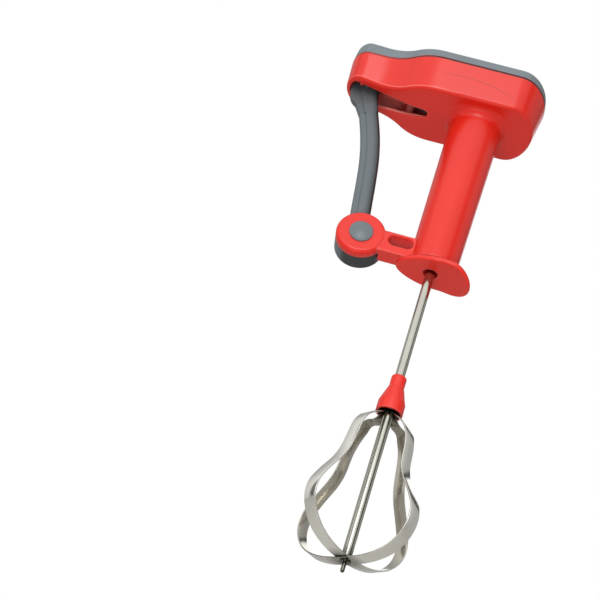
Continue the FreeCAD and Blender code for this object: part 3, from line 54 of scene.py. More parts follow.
# ---- Gear housing with its grip ----------------------------------------------
# One hollow ABS moulding, coloured red in the pellet, that carries all the other pieces.
# The tool was polished and then lightly stoned, which leaves a satin gloss with a very
# fine orange peel.
MM = 0.001
HARD_EDGE_DEG = 32


def linear(code):
    """An sRGB hex colour as a linear RGBA value."""
    channels = [int(code[i:i + 2], 16) / 255 for i in (1, 3, 5)]
    return tuple(c / 12.92 if c <= 0.04045 else ((c + 0.055) / 1.055) ** 2.4
                 for c in channels) + (1.0,)


def add(owner, kind, settings=(), links=()):
    """Adds a shader node, sets its properties and sockets, and links outputs to sockets."""
    node = owner.node_tree.nodes.new("ShaderNode" + kind)
    for key, value in dict(settings).items():
        if isinstance(key, str) and hasattr(node, key):
            setattr(node, key, value)
        else:
            node.inputs[key].default_value = value
    for key, output in dict(links).items():
        owner.node_tree.links.new(output, node.inputs[key])
    return node


def blank(name):
    """A new material with no nodes yet."""
    made = bpy.data.materials.new(name)
    made.use_nodes = True
    made.node_tree.nodes.clear()
    return made


def dress(piece, finish, hard_edge_deg=HARD_EDGE_DEG):
    """Gives a piece its finish, shaded smooth except at edges sharper than an angle."""
    piece.data.materials.clear()
    piece.data.materials.append(finish)
    for face in piece.data.polygons:
        face.use_smooth = True
    piece.data.set_sharp_from_angle(angle=math.radians(hard_edge_deg))


RED = "#df2516"
RED_DEEP = "#d92214"
RED_WEAR_AND_HIGHLIGHT = "#f7847c"
RED_IOR = 1.48
RED_ROUGHNESS = (0.25, 0.36)
SINK_SHARE = 0.03
SINK_REACH = 1.5 * MM
SINK_BY_COLOUR = (1.0, 0.25, 0.15)
PELLET_DRIFT = 45 * MM
DRIFT_SPAN = (0.3, 0.7)
RUB_PATCH = 9 * MM
PEEL = 1.4 * MM
PEEL_DEPTH = 0.012 * MM
PEEL_STRENGTH = 0.2
GROOVE_STRENGTH = 0.6
EDGE_BREAK = 1.6 * MM
EDGE_TURN = (0.997, 0.965)
EDGE_WEAR_AND_HIGHLIGHT = 0.22


def red_abs(name, stains_and_painted_light=(), groove=None):
    """Red moulded ABS.  The eye sees a satin red with wide soft highlights, whose colour
    drifts a little with the pellet mix, whose shine is uneven where hands rub it, and
    whose edges are painted paler, as wear and as a painted highlight.  A little light
    sinks in.  Stains, painted shade and painted light (colour, mask) lie on it, and a
    groove (depth, mask) is pressed into it."""
    made = blank(name)
    place = add(made, "TexCoord")
    drift = add(made, "TexNoise", {"Scale": 1 / PELLET_DRIFT, "Detail": 3.0},
                {"Vector": place.outputs["Object"]})
    tone = add(made, "ValToRGB", (), {"Fac": drift.outputs["Fac"]})
    tone.color_ramp.elements[0].position = DRIFT_SPAN[0]
    tone.color_ramp.elements[0].color = linear(RED_DEEP)
    tone.color_ramp.elements[1].position = DRIFT_SPAN[1]
    tone.color_ramp.elements[1].color = linear(RED)
    rub = add(made, "TexNoise", {"Scale": 1 / RUB_PATCH, "Detail": 6.0, "Roughness": 0.65},
              {"Vector": place.outputs["Object"]})
    gloss = add(made, "MapRange", {"To Min": RED_ROUGHNESS[0], "To Max": RED_ROUGHNESS[1]},
                {"Value": rub.outputs["Fac"]})
    peel = add(made, "TexNoise", {"Scale": 1 / PEEL, "Detail": 2.0},
               {"Vector": place.outputs["Object"]})
    edge = add(made, "Bevel", {"samples": 8, "Radius": EDGE_BREAK})
    bump = add(made, "Bump", {"Strength": PEEL_STRENGTH, "Distance": PEEL_DEPTH},
               {"Height": peel.outputs["Fac"], "Normal": edge.outputs["Normal"]})
    plain = add(made, "NewGeometry")
    # The edges are painted paler: partly wear, partly a painted highlight along them.
    turned = add(made, "VectorMath", {"operation": "DOT_PRODUCT"},
                 {0: edge.outputs["Normal"], 1: plain.outputs["Normal"]})
    wear_and_highlight = add(made, "MapRange", {"From Min": EDGE_TURN[0], "From Max": EDGE_TURN[1],
                                  "To Max": EDGE_WEAR_AND_HIGHLIGHT}, {"Value": turned.outputs["Value"]})
    worn_and_lit = add(made, "MixRGB", {"Color2": linear(RED_WEAR_AND_HIGHLIGHT)},
               {"Fac": wear_and_highlight.outputs["Result"], "Color1": tone.outputs["Color"]})
    colour = worn_and_lit.outputs["Color"]
    for stain_and_painted_light, mask in stains_and_painted_light:
        marked = add(made, "MixRGB", {"Color2": linear(stain_and_painted_light)},
                      {"Fac": mask(made, place), "Color1": colour})
        colour = marked.outputs["Color"]
    normal = bump.outputs["Normal"]
    if groove:
        depth, mask = groove
        pressed = add(made, "Bump", {"Strength": GROOVE_STRENGTH, "Distance": depth,
                                     "invert": True},
                      {"Height": mask(made, place), "Normal": normal})
        normal = pressed.outputs["Normal"]
    shader = add(made, "BsdfPrincipled",
                 {"IOR": RED_IOR, "Subsurface Weight": SINK_SHARE,
                  "Subsurface Scale": SINK_REACH, "Subsurface Radius": SINK_BY_COLOUR},
                 {"Base Color": colour, "Roughness": gloss.outputs["Result"],
                  "Normal": normal})
    add(made, "OutputMaterial", (), {"Surface": shader.outputs["BSDF"]})
    return made


# Where two streams of plastic met, a fine weld line runs along the broad near wall and
# dips towards the rear.  It fades in at its start and out at its end.
WELD_START = -32 * MM
WELD_FULL = -16 * MM
WELD_BEND = -15 * MM
WELD_END = 23 * MM
WELD_FADE = (2 * MM, 1 * MM)
WELD_HEIGHT = 73.6 * MM
WELD_DIP = 8.1 * MM
WELD_CURVE = 2.3
WELD_WIDTH = 0.22 * MM
WELD_DEPTH = 0.05 * MM
WELD_TINT = 0.28
NEAR_WALL = -20 * MM


def weld_line(made, place):
    """A mask of the weld line on the near wall."""
    axes = add(made, "SeparateXYZ", (), {"Vector": place.outputs["Object"]})
    run = add(made, "MapRange", {"From Min": WELD_BEND, "From Max": WELD_END},
              {"Value": axes.outputs["X"]})
    dip = add(made, "Math", {"operation": "POWER", 1: WELD_CURVE},
              {0: run.outputs["Result"]})
    level = add(made, "Math", {"operation": "MULTIPLY_ADD", 1: WELD_DIP, 2: -WELD_HEIGHT},
                {0: dip.outputs["Value"]})
    off = add(made, "Math", {"operation": "ADD"},
              {0: axes.outputs["Z"], 1: level.outputs["Value"]})
    away = add(made, "Math", {"operation": "ABSOLUTE"}, {0: off.outputs["Value"]})
    line = add(made, "MapRange", {"From Min": WELD_WIDTH, "From Max": 2 * WELD_WIDTH,
                                  "To Min": 1.0, "To Max": 0.0},
               {"Value": away.outputs["Value"]})
    begin = add(made, "MapRange", {"From Min": WELD_START, "From Max": WELD_FULL},
                {"Value": axes.outputs["X"]})
    finish = add(made, "MapRange", {"From Min": WELD_END - WELD_FADE[0],
                                    "From Max": WELD_END + WELD_FADE[1],
                                    "To Min": 1.0, "To Max": 0.0},
                 {"Value": axes.outputs["X"]})
    near = add(made, "Math", {"operation": "LESS_THAN", 1: NEAR_WALL},
               {0: axes.outputs["Y"]})
    ends = add(made, "Math", {"operation": "MULTIPLY"},
               {0: begin.outputs["Result"], 1: finish.outputs["Result"]})
    side = add(made, "Math", {"operation": "MULTIPLY"},
               {0: ends.outputs["Value"], 1: near.outputs["Value"]})
    mask = add(made, "Math", {"operation": "MULTIPLY"},
               {0: line.outputs["Result"], 1: side.outputs["Value"]})
    return mask.outputs["Value"]


# The lid sits on the shell with a hairline gap, whose shade is painted as a dark band
# along the shell's top edge.  It closes up towards the nose, and the painted band is weaker
# there.
GAP_SHADE = "#1c0709"
SEAM_HEIGHT = 83.85 * MM
SEAM_BAND = (1.05 * MM, 0.84 * MM)
SEAM_RUN = (-70 * MM, -25 * MM)
SEAM_TIGHT = 0.5


def seam_shade_and_weld(made, place):
    """A mask of the painted shade of the gap under the lid, with the weld line's faint tint.
    """
    axes = add(made, "SeparateXYZ", (), {"Vector": place.outputs["Object"]})
    edge = add(made, "MapRange", {"From Min": SEAM_HEIGHT - SEAM_BAND[0],
                                  "From Max": SEAM_HEIGHT - SEAM_BAND[1]},
               {"Value": axes.outputs["Z"]})
    open_gap = add(made, "MapRange", {"From Min": SEAM_RUN[0], "From Max": SEAM_RUN[1],
                                      "To Min": SEAM_TIGHT}, {"Value": axes.outputs["X"]})
    gap = add(made, "Math", {"operation": "MULTIPLY"},
              {0: edge.outputs["Result"], 1: open_gap.outputs["Result"]})
    faint = add(made, "Math", {"operation": "MULTIPLY", 1: WELD_TINT},
                {0: weld_line(made, place)})
    both = add(made, "Math", {"operation": "MAXIMUM"},
               {0: gap.outputs["Value"], 1: faint.outputs["Value"]})
    return both.outputs["Value"]


# A painted highlight runs as a pale line along the crease under the nose, and another
# lies as a small pale spot on the underside beside the grip.
HIGHLIGHT_PALE = "#ff9c94"
CREASE_TURN = (-0.55, -0.42, -0.36, -0.24)
CREASE_FADE = (-14 * MM, -28 * MM)
CREASE_HIGHLIGHT_TINT = 0.4
ROOT_HIGHLIGHT_AT = (-7.9 * MM, -10.1 * MM, 59.65 * MM)
ROOT_HIGHLIGHT_SIZE = (2.4 * MM, 0.5 * MM)
ROOT_HIGHLIGHT_TINT = 0.4


def crease_and_root_highlights(made, place):
    """A mask of the painted highlights: a line along the nose's lower crease and a spot
    beside the grip.
    """
    axes = add(made, "SeparateXYZ", (), {"Vector": place.outputs["Object"]})
    facing = add(made, "SeparateXYZ", (), {"Vector": place.outputs["Normal"]})
    under = add(made, "MapRange", {"From Min": CREASE_TURN[0], "From Max": CREASE_TURN[1]},
                {"Value": facing.outputs["Z"]})
    over = add(made, "MapRange", {"From Min": CREASE_TURN[3], "From Max": CREASE_TURN[2]},
               {"Value": facing.outputs["Z"]})
    turn = add(made, "Math", {"operation": "MULTIPLY"},
               {0: under.outputs["Result"], 1: over.outputs["Result"]})
    nose = add(made, "MapRange", {"From Min": CREASE_FADE[0], "From Max": CREASE_FADE[1],
                                  "To Max": CREASE_HIGHLIGHT_TINT}, {"Value": axes.outputs["X"]})
    line = add(made, "Math", {"operation": "MULTIPLY"},
               {0: turn.outputs["Value"], 1: nose.outputs["Result"]})
    away = add(made, "VectorMath", {"operation": "DISTANCE", 1: ROOT_HIGHLIGHT_AT},
               {0: place.outputs["Object"]})
    spot = add(made, "MapRange", {"From Min": ROOT_HIGHLIGHT_SIZE[0], "From Max": ROOT_HIGHLIGHT_SIZE[1],
                                  "To Max": ROOT_HIGHLIGHT_TINT}, {"Value": away.outputs["Value"]})
    both = add(made, "Math", {"operation": "MAXIMUM"},
               {0: line.outputs["Value"], 1: spot.outputs["Result"]})
    return both.outputs["Value"]


# The shell's inner walls are painted paler, which stands in for light reaching inside the
# shell.
INSIDE_PAINTED_LIGHT = "#ff8d84"
SHELL_MIDDLE = (-25 * MM, 0.0, 0.0)
SHELL_FLOOR = 60.5 * MM


def shell_inside(made, place):
    """A mask of the shell's inner walls: above its floor, and facing its middle."""
    axes = add(made, "SeparateXYZ", (), {"Vector": place.outputs["Object"]})
    outward = add(made, "VectorMath", {"operation": "SUBTRACT", 1: SHELL_MIDDLE},
                  {0: place.outputs["Object"]})
    plan = add(made, "VectorMath", {"operation": "MULTIPLY", 1: (1.0, 1.0, 0.0)},
               {0: outward.outputs["Vector"]})
    lean = add(made, "VectorMath", {"operation": "DOT_PRODUCT"},
               {0: plan.outputs["Vector"], 1: place.outputs["Normal"]})
    inner = add(made, "Math", {"operation": "LESS_THAN", 1: 0.0}, {0: lean.outputs["Value"]})
    high = add(made, "Math", {"operation": "GREATER_THAN", 1: SHELL_FLOOR},
               {0: axes.outputs["Z"]})
    mask = add(made, "Math", {"operation": "MULTIPLY"},
               {0: inner.outputs["Value"], 1: high.outputs["Value"]})
    return mask.outputs["Value"]


shell_red = red_abs("red_abs_stoned_mould_shell",
                    ((GAP_SHADE, seam_shade_and_weld), (HIGHLIGHT_PALE, crease_and_root_highlights),
                     (INSIDE_PAINTED_LIGHT, shell_inside)),
                    (WELD_DEPTH, weld_line))
dress(nodes["gear_housing"], shell_red)


# ---- Bushes and pinion -------------------------------------------------------
# Turned brass, left as it came off the lathe.  One bush sits in the web over the grip's
# bore and one in the guard's spigot, and the pinion is pressed on the shaft's upper end.
CLOUD_GLOSS = (0.08, 0.1)


def cloudy_metal(name, colour, deep, roughness, cloud_mm):
    """Plated or turned metal, whose colour and shine go cloudy over a short distance."""
    made = blank(name)
    place = add(made, "TexCoord")
    cloud = add(made, "TexNoise", {"Scale": 1 / (cloud_mm * MM), "Detail": 5.0},
                {"Vector": place.outputs["Object"]})
    tone = add(made, "ValToRGB", (), {"Fac": cloud.outputs["Fac"]})
    tone.color_ramp.elements[0].color = linear(deep)
    tone.color_ramp.elements[1].color = linear(colour)
    gloss = add(made, "MapRange", {"To Min": roughness - CLOUD_GLOSS[0],
                                   "To Max": roughness + CLOUD_GLOSS[1]},
                {"Value": cloud.outputs["Fac"]})
    shader = add(made, "BsdfPrincipled", {"Metallic": 1.0},
                 {"Base Color": tone.outputs["Color"], "Roughness": gloss.outputs["Result"]})
    add(made, "OutputMaterial", (), {"Surface": shader.outputs["BSDF"]})
    return made


# Lathe work gives a warm yellow with a slightly broken shine.
brass = cloudy_metal("brass_turned", colour="#cfae62", deep="#b8934a", roughness=0.3,
                     cloud_mm=0.8)
for name in ("upper_bush", "lower_bush", "shaft_pinion"):
    dress(nodes[name], brass)


# ---- Shaft and tip washer ----------------------------------------------------
# Stainless rod, centreless ground, turned down at the tip and polished.  The washer is
# riveted on hot under the strips' crossing, and the tip is painted dark as the shade there.
ROD_DEEP = "#b1b0a5"
ROD = "#c0beb4"
ROD_ROUGHNESS = (0.09, 0.17)
ROD_CLOUD = 14 * MM
# Painted shade at the tip, under the strips' crossing.
TIP_SHADE = "#3f3d35"
TIP_RUN = (-250 * MM, -258 * MM)
TIP_SHADE_TINT = 0.85
# Real grinding rings are hundredths of a millimetre apart: these are coarser, so that they
# show.
RING = 0.5 * MM
RING_DEPTH = 0.004 * MM
RING_STRENGTH = 0.15
RING_STRETCH = (0.02, 0.02, 1.0)


def ground_steel(name):
    """Polished stainless: a bright metal with faint rings round Z, which only show where a
    reflection ends."""
    made = blank(name)
    place = add(made, "TexCoord")
    stretch = add(made, "Mapping", {"Scale": RING_STRETCH},
                  {"Vector": place.outputs["Object"]})
    rings = add(made, "TexNoise", {"Scale": 1 / RING, "Detail": 3.0},
                {"Vector": stretch.outputs["Vector"]})
    cloud = add(made, "TexNoise", {"Scale": 1 / ROD_CLOUD, "Detail": 3.0},
                {"Vector": place.outputs["Object"]})
    tone = add(made, "ValToRGB", (), {"Fac": cloud.outputs["Fac"]})
    tone.color_ramp.elements[0].color = linear(ROD_DEEP)
    tone.color_ramp.elements[1].color = linear(ROD)
    axes = add(made, "SeparateXYZ", (), {"Vector": place.outputs["Object"]})
    foot_shade = add(made, "MapRange", {"From Min": TIP_RUN[0], "From Max": TIP_RUN[1],
                                  "To Max": TIP_SHADE_TINT}, {"Value": axes.outputs["Z"]})
    tinted = add(made, "MixRGB", {"Color2": linear(TIP_SHADE)},
                 {"Fac": foot_shade.outputs["Result"], "Color1": tone.outputs["Color"]})
    gloss = add(made, "MapRange", {"To Min": ROD_ROUGHNESS[0], "To Max": ROD_ROUGHNESS[1]},
                {"Value": rings.outputs["Fac"]})
    bump = add(made, "Bump", {"Strength": RING_STRENGTH, "Distance": RING_DEPTH},
               {"Height": rings.outputs["Fac"]})
    shader = add(made, "BsdfPrincipled", {"Metallic": 1.0},
                 {"Base Color": tinted.outputs["Color"], "Roughness": gloss.outputs["Result"],
                  "Normal": bump.outputs["Normal"]})
    add(made, "OutputMaterial", (), {"Surface": shader.outputs["BSDF"]})
    return made


rod_steel = ground_steel("stainless_ground_polished")
for name in ("drive_shaft", "tip_washer"):
    dress(nodes[name], rod_steel)


# ---- Gear pair ---------------------------------------------------------------
# A small gear on the rack and a large one on the pinion, in one moulding of natural nylon
# that turns on its axle.  It comes out of the tool waxy and milky.
MOULD_IOR = 1.53
MOULD_DRIFT = 30 * MM
MOULD_RUB = 6 * MM
MOULD_GLOSS = (0.06, 0.08)
MOULD_EDGE = 0.6 * MM
# A real grain is under a tenth of a millimetre: each grain_mm is coarser, so that it shows.
GRAIN_STRENGTH = 0.3


def satin_moulding(name, colour, deep, roughness, grain_mm, depth_mm, stain_and_painted_light=None):
    """Moulded plastic, and the bearing plate's painted red-brown, with the fine even grain of
    a spark-eroded tool.  The eye sees a dull sheen with no sharp reflection in it.  Painted
    shade and painted light (colour, mask) can lie on it."""
    made = blank(name)
    place = add(made, "TexCoord")
    drift = add(made, "TexNoise", {"Scale": 1 / MOULD_DRIFT, "Detail": 4.0},
                {"Vector": place.outputs["Object"]})
    tone = add(made, "ValToRGB", (), {"Fac": drift.outputs["Fac"]})
    tone.color_ramp.elements[0].position = DRIFT_SPAN[0]
    tone.color_ramp.elements[0].color = linear(deep)
    tone.color_ramp.elements[1].position = DRIFT_SPAN[1]
    tone.color_ramp.elements[1].color = linear(colour)
    rub = add(made, "TexNoise", {"Scale": 1 / MOULD_RUB, "Detail": 6.0, "Roughness": 0.7},
              {"Vector": place.outputs["Object"]})
    gloss = add(made, "MapRange", {"To Min": roughness - MOULD_GLOSS[0],
                                   "To Max": roughness + MOULD_GLOSS[1]},
                {"Value": rub.outputs["Fac"]})
    grain = add(made, "TexVoronoi", {"Scale": 1 / (grain_mm * MM)},
                {"Vector": place.outputs["Object"]})
    edge = add(made, "Bevel", {"samples": 6, "Radius": MOULD_EDGE})
    bump = add(made, "Bump", {"Strength": GRAIN_STRENGTH, "Distance": depth_mm * MM},
               {"Height": grain.outputs["Distance"], "Normal": edge.outputs["Normal"]})
    surface = tone.outputs["Color"]
    if stain_and_painted_light:
        mark_colour, mask = stain_and_painted_light
        marked = add(made, "MixRGB", {"Color2": linear(mark_colour)},
                      {"Fac": mask(made, place), "Color1": surface})
        surface = marked.outputs["Color"]
    shader = add(made, "BsdfPrincipled", {"IOR": MOULD_IOR},
                 {"Base Color": surface, "Roughness": gloss.outputs["Result"],
                  "Normal": bump.outputs["Normal"]})
    add(made, "OutputMaterial", (), {"Surface": shader.outputs["BSDF"]})
    return made


nylon = satin_moulding("nylon_moulded", colour="#e6e2d4", deep="#ddd8c8", roughness=0.45,
                       grain_mm=0.5, depth_mm=0.01)
dress(nodes["compound_gear"], nylon)


# ---- Rack slider -------------------------------------------------------------
# A toothed bar with a yoke over the lever's head, in one moulding of red acetal.  It slides
# in the housing's rail, and shows in the mouth as a waxy red, paler than the shadow there.
acetal = satin_moulding("red_acetal_moulded", colour="#ee5a50", deep="#e4524a",
                        roughness=0.42, grain_mm=0.5, depth_mm=0.01)
dress(nodes["rack_slider"], acetal)


# ---- Screws, axle, pins, washer and clips ------------------------------------
# Small steel parts, turned, headed or stamped, and then plated with bright zinc.  The
# plating leaves a cloudy, slightly blue shine.
zinc = cloudy_metal("steel_bright_zinc", colour="#d3d7da", deep="#b4babf",
                    roughness=0.32, cloud_mm=1.5)
for name in ("cover_screws", "plate_screws", "idler_axle", "pivot_pin",
             "drive_pin", "thrust_washer", "shaft_clips"):
    dress(nodes[name], zinc)


# ---- Bearing plate -----------------------------------------------------------
# A stamped steel plate over the gears, zinc plated, and screwed down on four posts.  It is
# painted a satin red-brown, which stands in for the red light bounced inside the shell.
zinc_painted_bounce = satin_moulding("zinc_plate_painted_bounce", colour="#8f5a4c", deep="#7d4a3e",
                              roughness=0.45, grain_mm=0.8, depth_mm=0.01)
dress(nodes["bearing_plate"], zinc_painted_bounce)


# ---- Top cover ---------------------------------------------------------------
# Grey ABS lid from a spark-eroded tool, which leaves it duller than the red shell.  Its rim
# plugs into the shell, and four screws hold it.
# The lid's hidden rim and ceiling are painted red, as light bounced off the red shell inside.
PAINTED_BOUNCE_RED = "#d8685f"
RIM_TOP = 83.75 * MM
CEILING_TURN = -0.6
GREY_GRAIN_MM = 0.35
GREY_GRAIN_DEPTH_MM = 0.02


def lid_inside(made, place):
    """A mask of the lid's rim and ceiling, which are painted red as light bounced off the
    shell.
    """
    axes = add(made, "SeparateXYZ", (), {"Vector": place.outputs["Object"]})
    facing = add(made, "SeparateXYZ", (), {"Vector": place.outputs["Normal"]})
    low = add(made, "Math", {"operation": "LESS_THAN", 1: RIM_TOP}, {0: axes.outputs["Z"]})
    ceiling = add(made, "Math", {"operation": "LESS_THAN", 1: CEILING_TURN},
                  {0: facing.outputs["Z"]})
    mask = add(made, "Math", {"operation": "MAXIMUM"},
               {0: low.outputs["Value"], 1: ceiling.outputs["Value"]})
    return mask.outputs["Value"]


lid_grey = satin_moulding("grey_abs_eroded_mould", colour="#717b81", deep="#6c767c",
                          roughness=0.36, grain_mm=GREY_GRAIN_MM,
                          depth_mm=GREY_GRAIN_DEPTH_MM, stain_and_painted_light=(PAINTED_BOUNCE_RED, lid_inside))
dress(nodes["top_cover"], lid_grey)


# ---- Finger guard ------------------------------------------------------------
# Flange, slotted arm and the front half of the pivot drum, in one ABS moulding.  It has the
# shell's red and finish, and its spigot plugs into the grip's foot.
guard_red = red_abs("red_abs_stoned_mould")
dress(nodes["finger_guard"], guard_red)


# ---- Return spring -----------------------------------------------------------
# Hard-drawn spring wire with a thin film of oil, coiled round the pivot, with one leg in
# the drum and one in the lever's eye.  It is dark, with a shine that breaks up.
ROUNDED_EDGE_DEG = 40
spring_wire = cloudy_metal("spring_wire_drawn", colour="#6d6c6b", deep="#4b4b4d",
                           roughness=0.35, cloud_mm=1.0)
dress(nodes["return_spring"], spring_wire, ROUNDED_EDGE_DEG)


# ---- Squeeze lever and the button over its pivot -----------------------------
# Two mouldings in a grey ABS darker than the lid's.  The lever turns on the drum's pin, and
# the button's stem plugs the drum's face.  The lever carries painted shade on its side
# towards the grip, and on its head under the housing.
LEVER_DARK = "#23272a"
SHADE_WAY = (0.75, 0.0, -0.65)
SHADE_TURN = 0.22
SHADE_REACH = 7 * MM
HEAD_SHADE_RUN = (42 * MM, 68 * MM)
HEAD_SHADE_TINT = 0.6


def lever_shade(made, place):
    """A mask of the painted shade on the lever's side towards the grip and on its head."""
    axes = add(made, "SeparateXYZ", (), {"Vector": place.outputs["Object"]})
    head_shade = add(made, "MapRange", {"From Min": HEAD_SHADE_RUN[0], "From Max": HEAD_SHADE_RUN[1],
                                    "To Max": HEAD_SHADE_TINT}, {"Value": axes.outputs["Z"]})
    broad = add(made, "Bevel", {"samples": 8, "Radius": SHADE_REACH})
    own = add(made, "VectorTransform", {"vector_type": "NORMAL", "convert_from": "WORLD",
                                        "convert_to": "OBJECT"},
              {"Vector": broad.outputs["Normal"]})
    lean = add(made, "VectorMath", {"operation": "DOT_PRODUCT", 1: SHADE_WAY},
               {0: own.outputs["Vector"]})
    shade = add(made, "MapRange", {"From Min": 0.0, "From Max": SHADE_TURN},
                {"Value": lean.outputs["Value"]})
    both = add(made, "Math", {"operation": "MAXIMUM"},
               {0: shade.outputs["Result"], 1: head_shade.outputs["Result"]})
    return both.outputs["Value"]


lever_grey = satin_moulding("grey_abs_lever", colour="#5d666b", deep="#586166",
                            roughness=0.38, grain_mm=GREY_GRAIN_MM,
                            depth_mm=GREY_GRAIN_DEPTH_MM, stain_and_painted_light=(LEVER_DARK, lever_shade))
dress(nodes["squeeze_lever"], lever_grey)
button_grey = satin_moulding("grey_abs_button", colour="#646d72", deep="#5f686d",
                             roughness=0.34, grain_mm=GREY_GRAIN_MM,
                             depth_mm=GREY_GRAIN_DEPTH_MM)
dress(nodes["pivot_button"], button_grey)


# ---- Whisk ferrule -----------------------------------------------------------
# A short stainless ring that holds the strips' four tangs to the shaft.  It is painted dark
# and dull as the shade inside the collar's mouth.
collar_shade_steel = cloudy_metal("stainless_painted_shade", colour="#4a4740", deep="#2c2b28",
                           roughness=0.5, cloud_mm=1.2)
dress(nodes["whisk_ferrule"], collar_shade_steel)


# ---- Whisk strips ------------------------------------------------------------
# Rolled stainless strip with its edges tumbled round, bent cold round a former, which
# leaves each bend a slightly uneven shine.  The tangs are spot welded into the ferrule and
# the crossing is riveted hot.  The strips carry painted shade: on their inner faces, at
# their upper ends under the collar, and about the crossing.
EDGE_ROUND = 0.2 * MM
EDGE_ROUND_STEPS = 3
SAME_PLACE = 0.001 * MM
STRIP_EDGE_DEG = 60
STRIP = "#f2efe7"
STRIP_DEEP = "#dedbd2"
STRIP_SPAN = (0.3, 0.6)
STRIP_ROUGHNESS = (0.12, 0.24)
# Rolled lines are hair fine on a real strip: these are coarser, so that they show.
ROLL_LINE = 0.9 * MM
ROLL_STRETCH = 0.03
ROLL_DEPTH = 0.01 * MM
ROLL_STRENGTH = 0.05
BEND_WAVE = 28 * MM
BEND_DEPTH = 0.35 * MM
BEND_STRENGTH = 0.12
# Painted shade on the strips' inner faces.
INNER_SHADE = "#bdb8aa"
INNER_TURN = 1 * MM
INNER_SHADE_TINT = 0.85
# Painted shade at the strips' upper ends and about the crossing.
STRIP_SHADE = "#57544b"
ROOT_SHADE_RUN = (-182 * MM, -162 * MM)
ROOT_SHADE_TINT = 0.9
CROSSING_SHADE_RUN = (13 * MM, 6 * MM)
CROSSING_SHADE_TOP = -200 * MM
CROSSING_SHADE_TINT = 0.6
STRIP_TURNS_DEG = (("inner_loop", 43.2), ("outer_loop", 139.3))


def rolled_strip(name, turn_deg):
    """Polished rolled strip in a plane turned about Z: a bright, slightly streaky metal,
    painted darker as shade on its inner face, at its upper ends and about its foot."""
    made = blank(name)
    turn = math.radians(turn_deg)
    place = add(made, "TexCoord")
    across = add(made, "VectorMath", {"operation": "DOT_PRODUCT",
                                      1: (-math.sin(turn), math.cos(turn), 0.0)},
                 {0: place.outputs["Object"]})
    axes = add(made, "SeparateXYZ", (), {"Vector": place.outputs["Object"]})
    along = add(made, "Math", {"operation": "MULTIPLY", 1: ROLL_STRETCH},
                {0: axes.outputs["Z"]})
    lie = add(made, "CombineXYZ", (), {"X": across.outputs["Value"],
                                       "Y": along.outputs["Value"]})
    lines = add(made, "TexNoise", {"Scale": 1 / ROLL_LINE, "Detail": 4.0, "Roughness": 0.6},
                {"Vector": lie.outputs["Vector"]})
    wave = add(made, "TexNoise", {"Scale": 1 / BEND_WAVE, "Detail": 2.0},
               {"Vector": place.outputs["Object"]})
    tone = add(made, "ValToRGB", (), {"Fac": wave.outputs["Fac"]})
    tone.color_ramp.elements[0].position = STRIP_SPAN[0]
    tone.color_ramp.elements[0].color = linear(STRIP_DEEP)
    tone.color_ramp.elements[1].position = STRIP_SPAN[1]
    tone.color_ramp.elements[1].color = linear(STRIP)
    plan = add(made, "CombineXYZ", (), {"X": axes.outputs["X"], "Y": axes.outputs["Y"]})
    inward = add(made, "VectorMath", {"operation": "DOT_PRODUCT"},
                 {0: plan.outputs["Vector"], 1: place.outputs["Normal"]})
    inner = add(made, "MapRange", {"From Min": INNER_TURN, "From Max": -INNER_TURN,
                                   "To Max": INNER_SHADE_TINT}, {"Value": inward.outputs["Value"]})
    inner_shaded = add(made, "MixRGB", {"Color2": linear(INNER_SHADE)},
               {"Fac": inner.outputs["Result"], "Color1": tone.outputs["Color"]})
    root_shade = add(made, "MapRange", {"From Min": ROOT_SHADE_RUN[0], "From Max": ROOT_SHADE_RUN[1],
                                  "To Max": ROOT_SHADE_TINT}, {"Value": axes.outputs["Z"]})
    reach = add(made, "VectorMath", {"operation": "LENGTH"}, {0: plan.outputs["Vector"]})
    crossing_shade = add(made, "MapRange", {"From Min": CROSSING_SHADE_RUN[0], "From Max": CROSSING_SHADE_RUN[1],
                                   "To Max": CROSSING_SHADE_TINT}, {"Value": reach.outputs["Value"]})
    foot_shade = add(made, "Math", {"operation": "LESS_THAN", 1: CROSSING_SHADE_TOP},
               {0: axes.outputs["Z"]})
    spot = add(made, "Math", {"operation": "MULTIPLY"},
               {0: crossing_shade.outputs["Result"], 1: foot_shade.outputs["Value"]})
    dark_shade = add(made, "Math", {"operation": "MAXIMUM"},
                {0: root_shade.outputs["Result"], 1: spot.outputs["Value"]})
    tinted = add(made, "MixRGB", {"Color2": linear(STRIP_SHADE)},
                 {"Fac": dark_shade.outputs["Value"], "Color1": inner_shaded.outputs["Color"]})
    gloss = add(made, "MapRange", {"To Min": STRIP_ROUGHNESS[0],
                                   "To Max": STRIP_ROUGHNESS[1]},
                {"Value": lines.outputs["Fac"]})
    dents = add(made, "Bump", {"Strength": BEND_STRENGTH, "Distance": BEND_DEPTH},
                {"Height": wave.outputs["Fac"]})
    bump = add(made, "Bump", {"Strength": ROLL_STRENGTH, "Distance": ROLL_DEPTH},
               {"Height": lines.outputs["Fac"], "Normal": dents.outputs["Normal"]})
    shader = add(made, "BsdfPrincipled", {"Metallic": 1.0},
                 {"Base Color": tinted.outputs["Color"], "Roughness": gloss.outputs["Result"],
                  "Normal": bump.outputs["Normal"]})
    add(made, "OutputMaterial", (), {"Surface": shader.outputs["BSDF"]})
    return made


